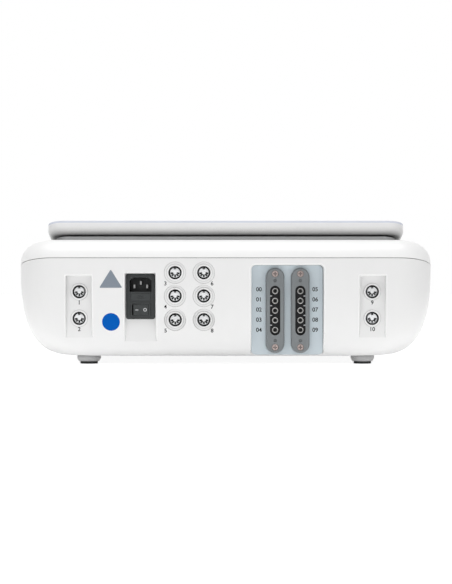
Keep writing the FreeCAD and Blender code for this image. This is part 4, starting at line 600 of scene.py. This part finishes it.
def add_lead_tabs():
    """Pale caps on the keying tabs between the sockets, on each block's outer side."""
    for name, (first, side) in LEAD_BLOCKS.items():
        top = lead_place(first)
        bottom = lead_place(first + LEADS_PER_BLOCK - 1)
        pitch = (top.z - bottom.z) / (LEADS_PER_BLOCK - 1)
        middle = (top + bottom) / 2 + ACROSS * side * TAB_REACH
        hit, _ = point_behind(surface_of(f"lead_block_{name}"), middle.x, middle.z + pitch / 2)
        add_ridges(f"lead_tabs_{name}", LEADS_PER_BLOCK - 1, pitch, TAB_SIZE,
                   Vector((middle.x, hit.y, middle.z)), OUTWARD, UP, "tab_grey", "housing")


# The rocker and the fuse drawer

ROCKER_MARK_HEIGHT = 3.4 * MM
# Place of a mark, as a share of the rocker's half width.
ROCKER_MARK_REACH = 0.55
# Each mark, the side it is on, and the direction of its upper edge.
ROCKER_MARKS = {"rocker_on": ("I", -1, ACROSS), "rocker_off": ("O", 1, UP)}


def add_rocker_marks():
    """The on and off marks of the rocker, on its two sloping faces."""
    low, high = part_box("power_rocker")
    surface = surface_of("power_rocker")
    middle = (low + high) / 2
    for name, (mark, side, upright) in ROCKER_MARKS.items():
        x = middle.x + side * ROCKER_MARK_REACH * (high.x - low.x) / 2
        hit, out = point_behind(surface, x, middle.z)
        print_words(name, mark, ROCKER_MARK_HEIGHT, hit, out, upright,
                    "print_pale", "rocker")


DRAWER_GRIP = (6.5 * MM, 0.7 * MM, 0.5 * MM)
DRAWER_GRIP_PITCH = 1.6 * MM
DRAWER_GRIP_COUNT = 3


def add_drawer_grip():
    """Finger ridges in the middle of the fuse drawer's face."""
    low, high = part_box("fuse_drawer")
    face = Vector(((low.x + high.x) / 2, low.y, (low.z + high.z) / 2))
    add_ridges("drawer_grip", DRAWER_GRIP_COUNT, DRAWER_GRIP_PITCH, DRAWER_GRIP, face, OUTWARD, UP,
               "inlet_charcoal", "drawer")


# The deck: keys and the recorder door

KEY_COUNT = 5
KEY_NUMBER_HEIGHT = 5.0 * MM
DOOR_GRIP = (22 * MM, 1.0 * MM, 0.8 * MM)
DOOR_GRIP_PITCH = 2.4 * MM
DOOR_GRIP_COUNT = 4
DOOR_GRIP_INSET = 7 * MM


def reach_along(name, direction):
    """How far a node reaches in a direction."""
    return max(vertex.co.dot(direction) for vertex in nodes[name].data.vertices)


def deck_top(name):
    """The middle of a node's upper face, square to the deck."""
    low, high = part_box(name)
    middle = (low + high) / 2
    return middle + deck_normal * (reach_along(name, deck_normal) - middle.dot(deck_normal))


def add_key_numbers():
    """Numbers that rise from the operator's left to right."""
    for index in range(1, KEY_COUNT + 1):
        number = str(KEY_COUNT + 1 - index)
        print_words(f"key_number_{index}", number, KEY_NUMBER_HEIGHT, deck_top(f"key_{index}"),
                    deck_normal, -down_slope, "print_dark", f"key_{index}_cap")


def add_door_grip():
    """Finger ridges near the recorder door's free edge."""
    origin = deck_top("paper_door")
    edge = reach_along("paper_door", down_slope)
    origin += down_slope * (edge - DOOR_GRIP_INSET - origin.dot(down_slope))
    add_ridges("door_grip", DOOR_GRIP_COUNT, DOOR_GRIP_PITCH, DOOR_GRIP, origin, deck_normal, -down_slope,
               "case_white", "recorder_door")


# The stage

WHITE = (1, 1, 1, 1)
WORLD_LIGHT = 0.25
FLOOR_HALF = 30.0
FLOOR_COLOUR = (0.9, 0.9, 0.9)
FLOOR_ROUGHNESS = 0.9
FLOOR_GLOW = 0.85
# The floor's glow towards the object: painted bounce light.
FLOOR_BOUNCE = 0.52
# The floor's glow, painted bounce light, is painted weaker below the object as a painted shadow: how far that
# shade reaches from the middle, in metres, and over which share of that way, from outside, it sets in.
FLOOR_SHADE_REACH = (0.42, 0.197, 1.0)
FLOOR_SHADE_EDGE = 0.34
# Soft round lamps: place, aim, width in metres, and watts.
LAMPS = {
    "over_light": ((-0.1, -0.4, 1.7), (0, 0, 0.1), 1.6, 23),
    "front_light": ((-0.6, -1.9, 0.3), (0, 0, 0.08), 1.2, 2.4),
    "side_light": ((1.5, -0.8, 0.7), (0, 0, 0.08), 0.9, 1.4),
}


def add_lamps():
    for name, (place, aim, width, watts) in LAMPS.items():
        lamp = bpy.data.lights.new(name, "AREA")
        lamp.shape = "DISK"
        lamp.size = width
        lamp.energy = watts
        holder = bpy.data.objects.new(name, lamp)
        holder.location = place
        holder.rotation_euler = (Vector(aim) - Vector(place)).to_track_quat("-Z", "Y").to_euler()
        bpy.context.scene.collection.objects.link(holder)


def larger(tree, first, second):
    """The larger of two values."""
    node = tree.nodes.new("ShaderNodeMath")
    node.operation = "MAXIMUM"
    tree.links.new(first, node.inputs[0])
    tree.links.new(second, node.inputs[1])
    return node.outputs[0]


def seen_directly(tree):
    """One for rays of the camera, of mirrors and of glass, and nought for all other light."""
    path = tree.nodes.new("ShaderNodeLightPath").outputs
    seen = larger(tree, path["Is Camera Ray"], path["Is Glossy Ray"])
    return larger(tree, seen, path["Is Transmission Ray"])


def set_world():
    """A world that looks white, and that lights the object more faintly."""
    world = bpy.data.worlds.new("studio")
    bpy.context.scene.world = world
    world.use_nodes = True
    tree = world.node_tree
    background = tree.nodes["Background"]
    background.inputs["Color"].default_value = WHITE
    span = add_node(tree, "ShaderNodeMapRange", To_Min=WORLD_LIGHT, To_Max=1.0)
    tree.links.new(seen_directly(tree), span.inputs["Value"])
    tree.links.new(span.outputs["Result"], background.inputs["Strength"])


def paint_floor():
    """A floor that looks white and keeps the object's shadow, and whose glow, painted bounce light, is painted
    weaker below the object as a painted shadow.
    """
    tree, shader = new_finish("floor_white")
    shader.inputs["Base Color"].default_value = opaque(FLOOR_COLOUR)
    shader.inputs["Roughness"].default_value = FLOOR_ROUGHNESS
    shader.inputs["Specular IOR Level"].default_value = 0.0
    shader.inputs["Emission Color"].default_value = WHITE
    place = tree.nodes.new("ShaderNodeTexCoord")
    reach = add_node(tree, "ShaderNodeMapping", Scale=[1 / length for length in FLOOR_SHADE_REACH])
    under = tree.nodes.new("ShaderNodeTexGradient")
    under.gradient_type = "SPHERICAL"
    bounce = add_node(tree, "ShaderNodeMapRange", From_Max=FLOOR_SHADE_EDGE, To_Min=FLOOR_BOUNCE, To_Max=0.0)
    span = add_node(tree, "ShaderNodeMapRange", To_Max=FLOOR_GLOW)
    tree.links.new(place.outputs["Object"], reach.inputs["Vector"])
    tree.links.new(reach.outputs["Vector"], under.inputs["Vector"])
    tree.links.new(under.outputs["Fac"], bounce.inputs["Value"])
    tree.links.new(bounce.outputs["Result"], span.inputs["To Min"])
    tree.links.new(seen_directly(tree), span.inputs["Value"])
    tree.links.new(span.outputs["Result"], shader.inputs["Emission Strength"])


def add_floor():
    paint_floor()
    form = bmesh.new()
    bmesh.ops.create_grid(form, x_segments=1, y_segments=1, size=FLOOR_HALF)
    mesh = form_mesh("floor", form)
    mesh.materials.append(finishes["floor_white"])
    floor = bpy.data.objects.new("floor", mesh)
    bpy.context.scene.collection.objects.link(floor)


# The picture's height in pixels, and the size of a pixel in the plane of the rear wall.
IMAGE_TALL = 584
VIEW_SCALE = 1.09 * MM
SENSOR = 36.0
VIEW_DISTANCE = 1.6
VIEW_HEIGHT = 80.7 * MM
VIEW_SHIFT = 0.3 * MM


def add_camera():
    """A long lens, square to the rear wall, level with its sockets and very nearly at its middle."""
    camera = bpy.data.cameras.new("camera")
    camera.sensor_width = SENSOR
    camera.lens = SENSOR * VIEW_DISTANCE / (IMAGE_TALL * VIEW_SCALE)
    holder = bpy.data.objects.new("camera", camera)
    aim = Vector((VIEW_SHIFT, cad_box[0].y, VIEW_HEIGHT))
    holder.location = aim + OUTWARD * VIEW_DISTANCE
    holder.rotation_euler = (-OUTWARD).to_track_quat("-Z", "Y").to_euler()
    bpy.context.scene.collection.objects.link(holder)
    bpy.context.scene.camera = holder


make_case_finishes()
make_socket_finishes()
make_display_finishes()
make_deck_finishes()
make_inner_finishes()
make_print_finishes()
dress_nodes()
add_triangle_sticker()
add_round_sticker()
add_port_numbers()
add_lead_numbers()
add_lead_contacts()
add_lead_tabs()
add_pocket_rims()
add_rocker_marks()
add_key_numbers()
add_door_grip()
add_drawer_grip()
set_world()
add_floor()
add_lamps()
add_camera()
bpy.context.scene.view_settings.view_transform = "Standard"
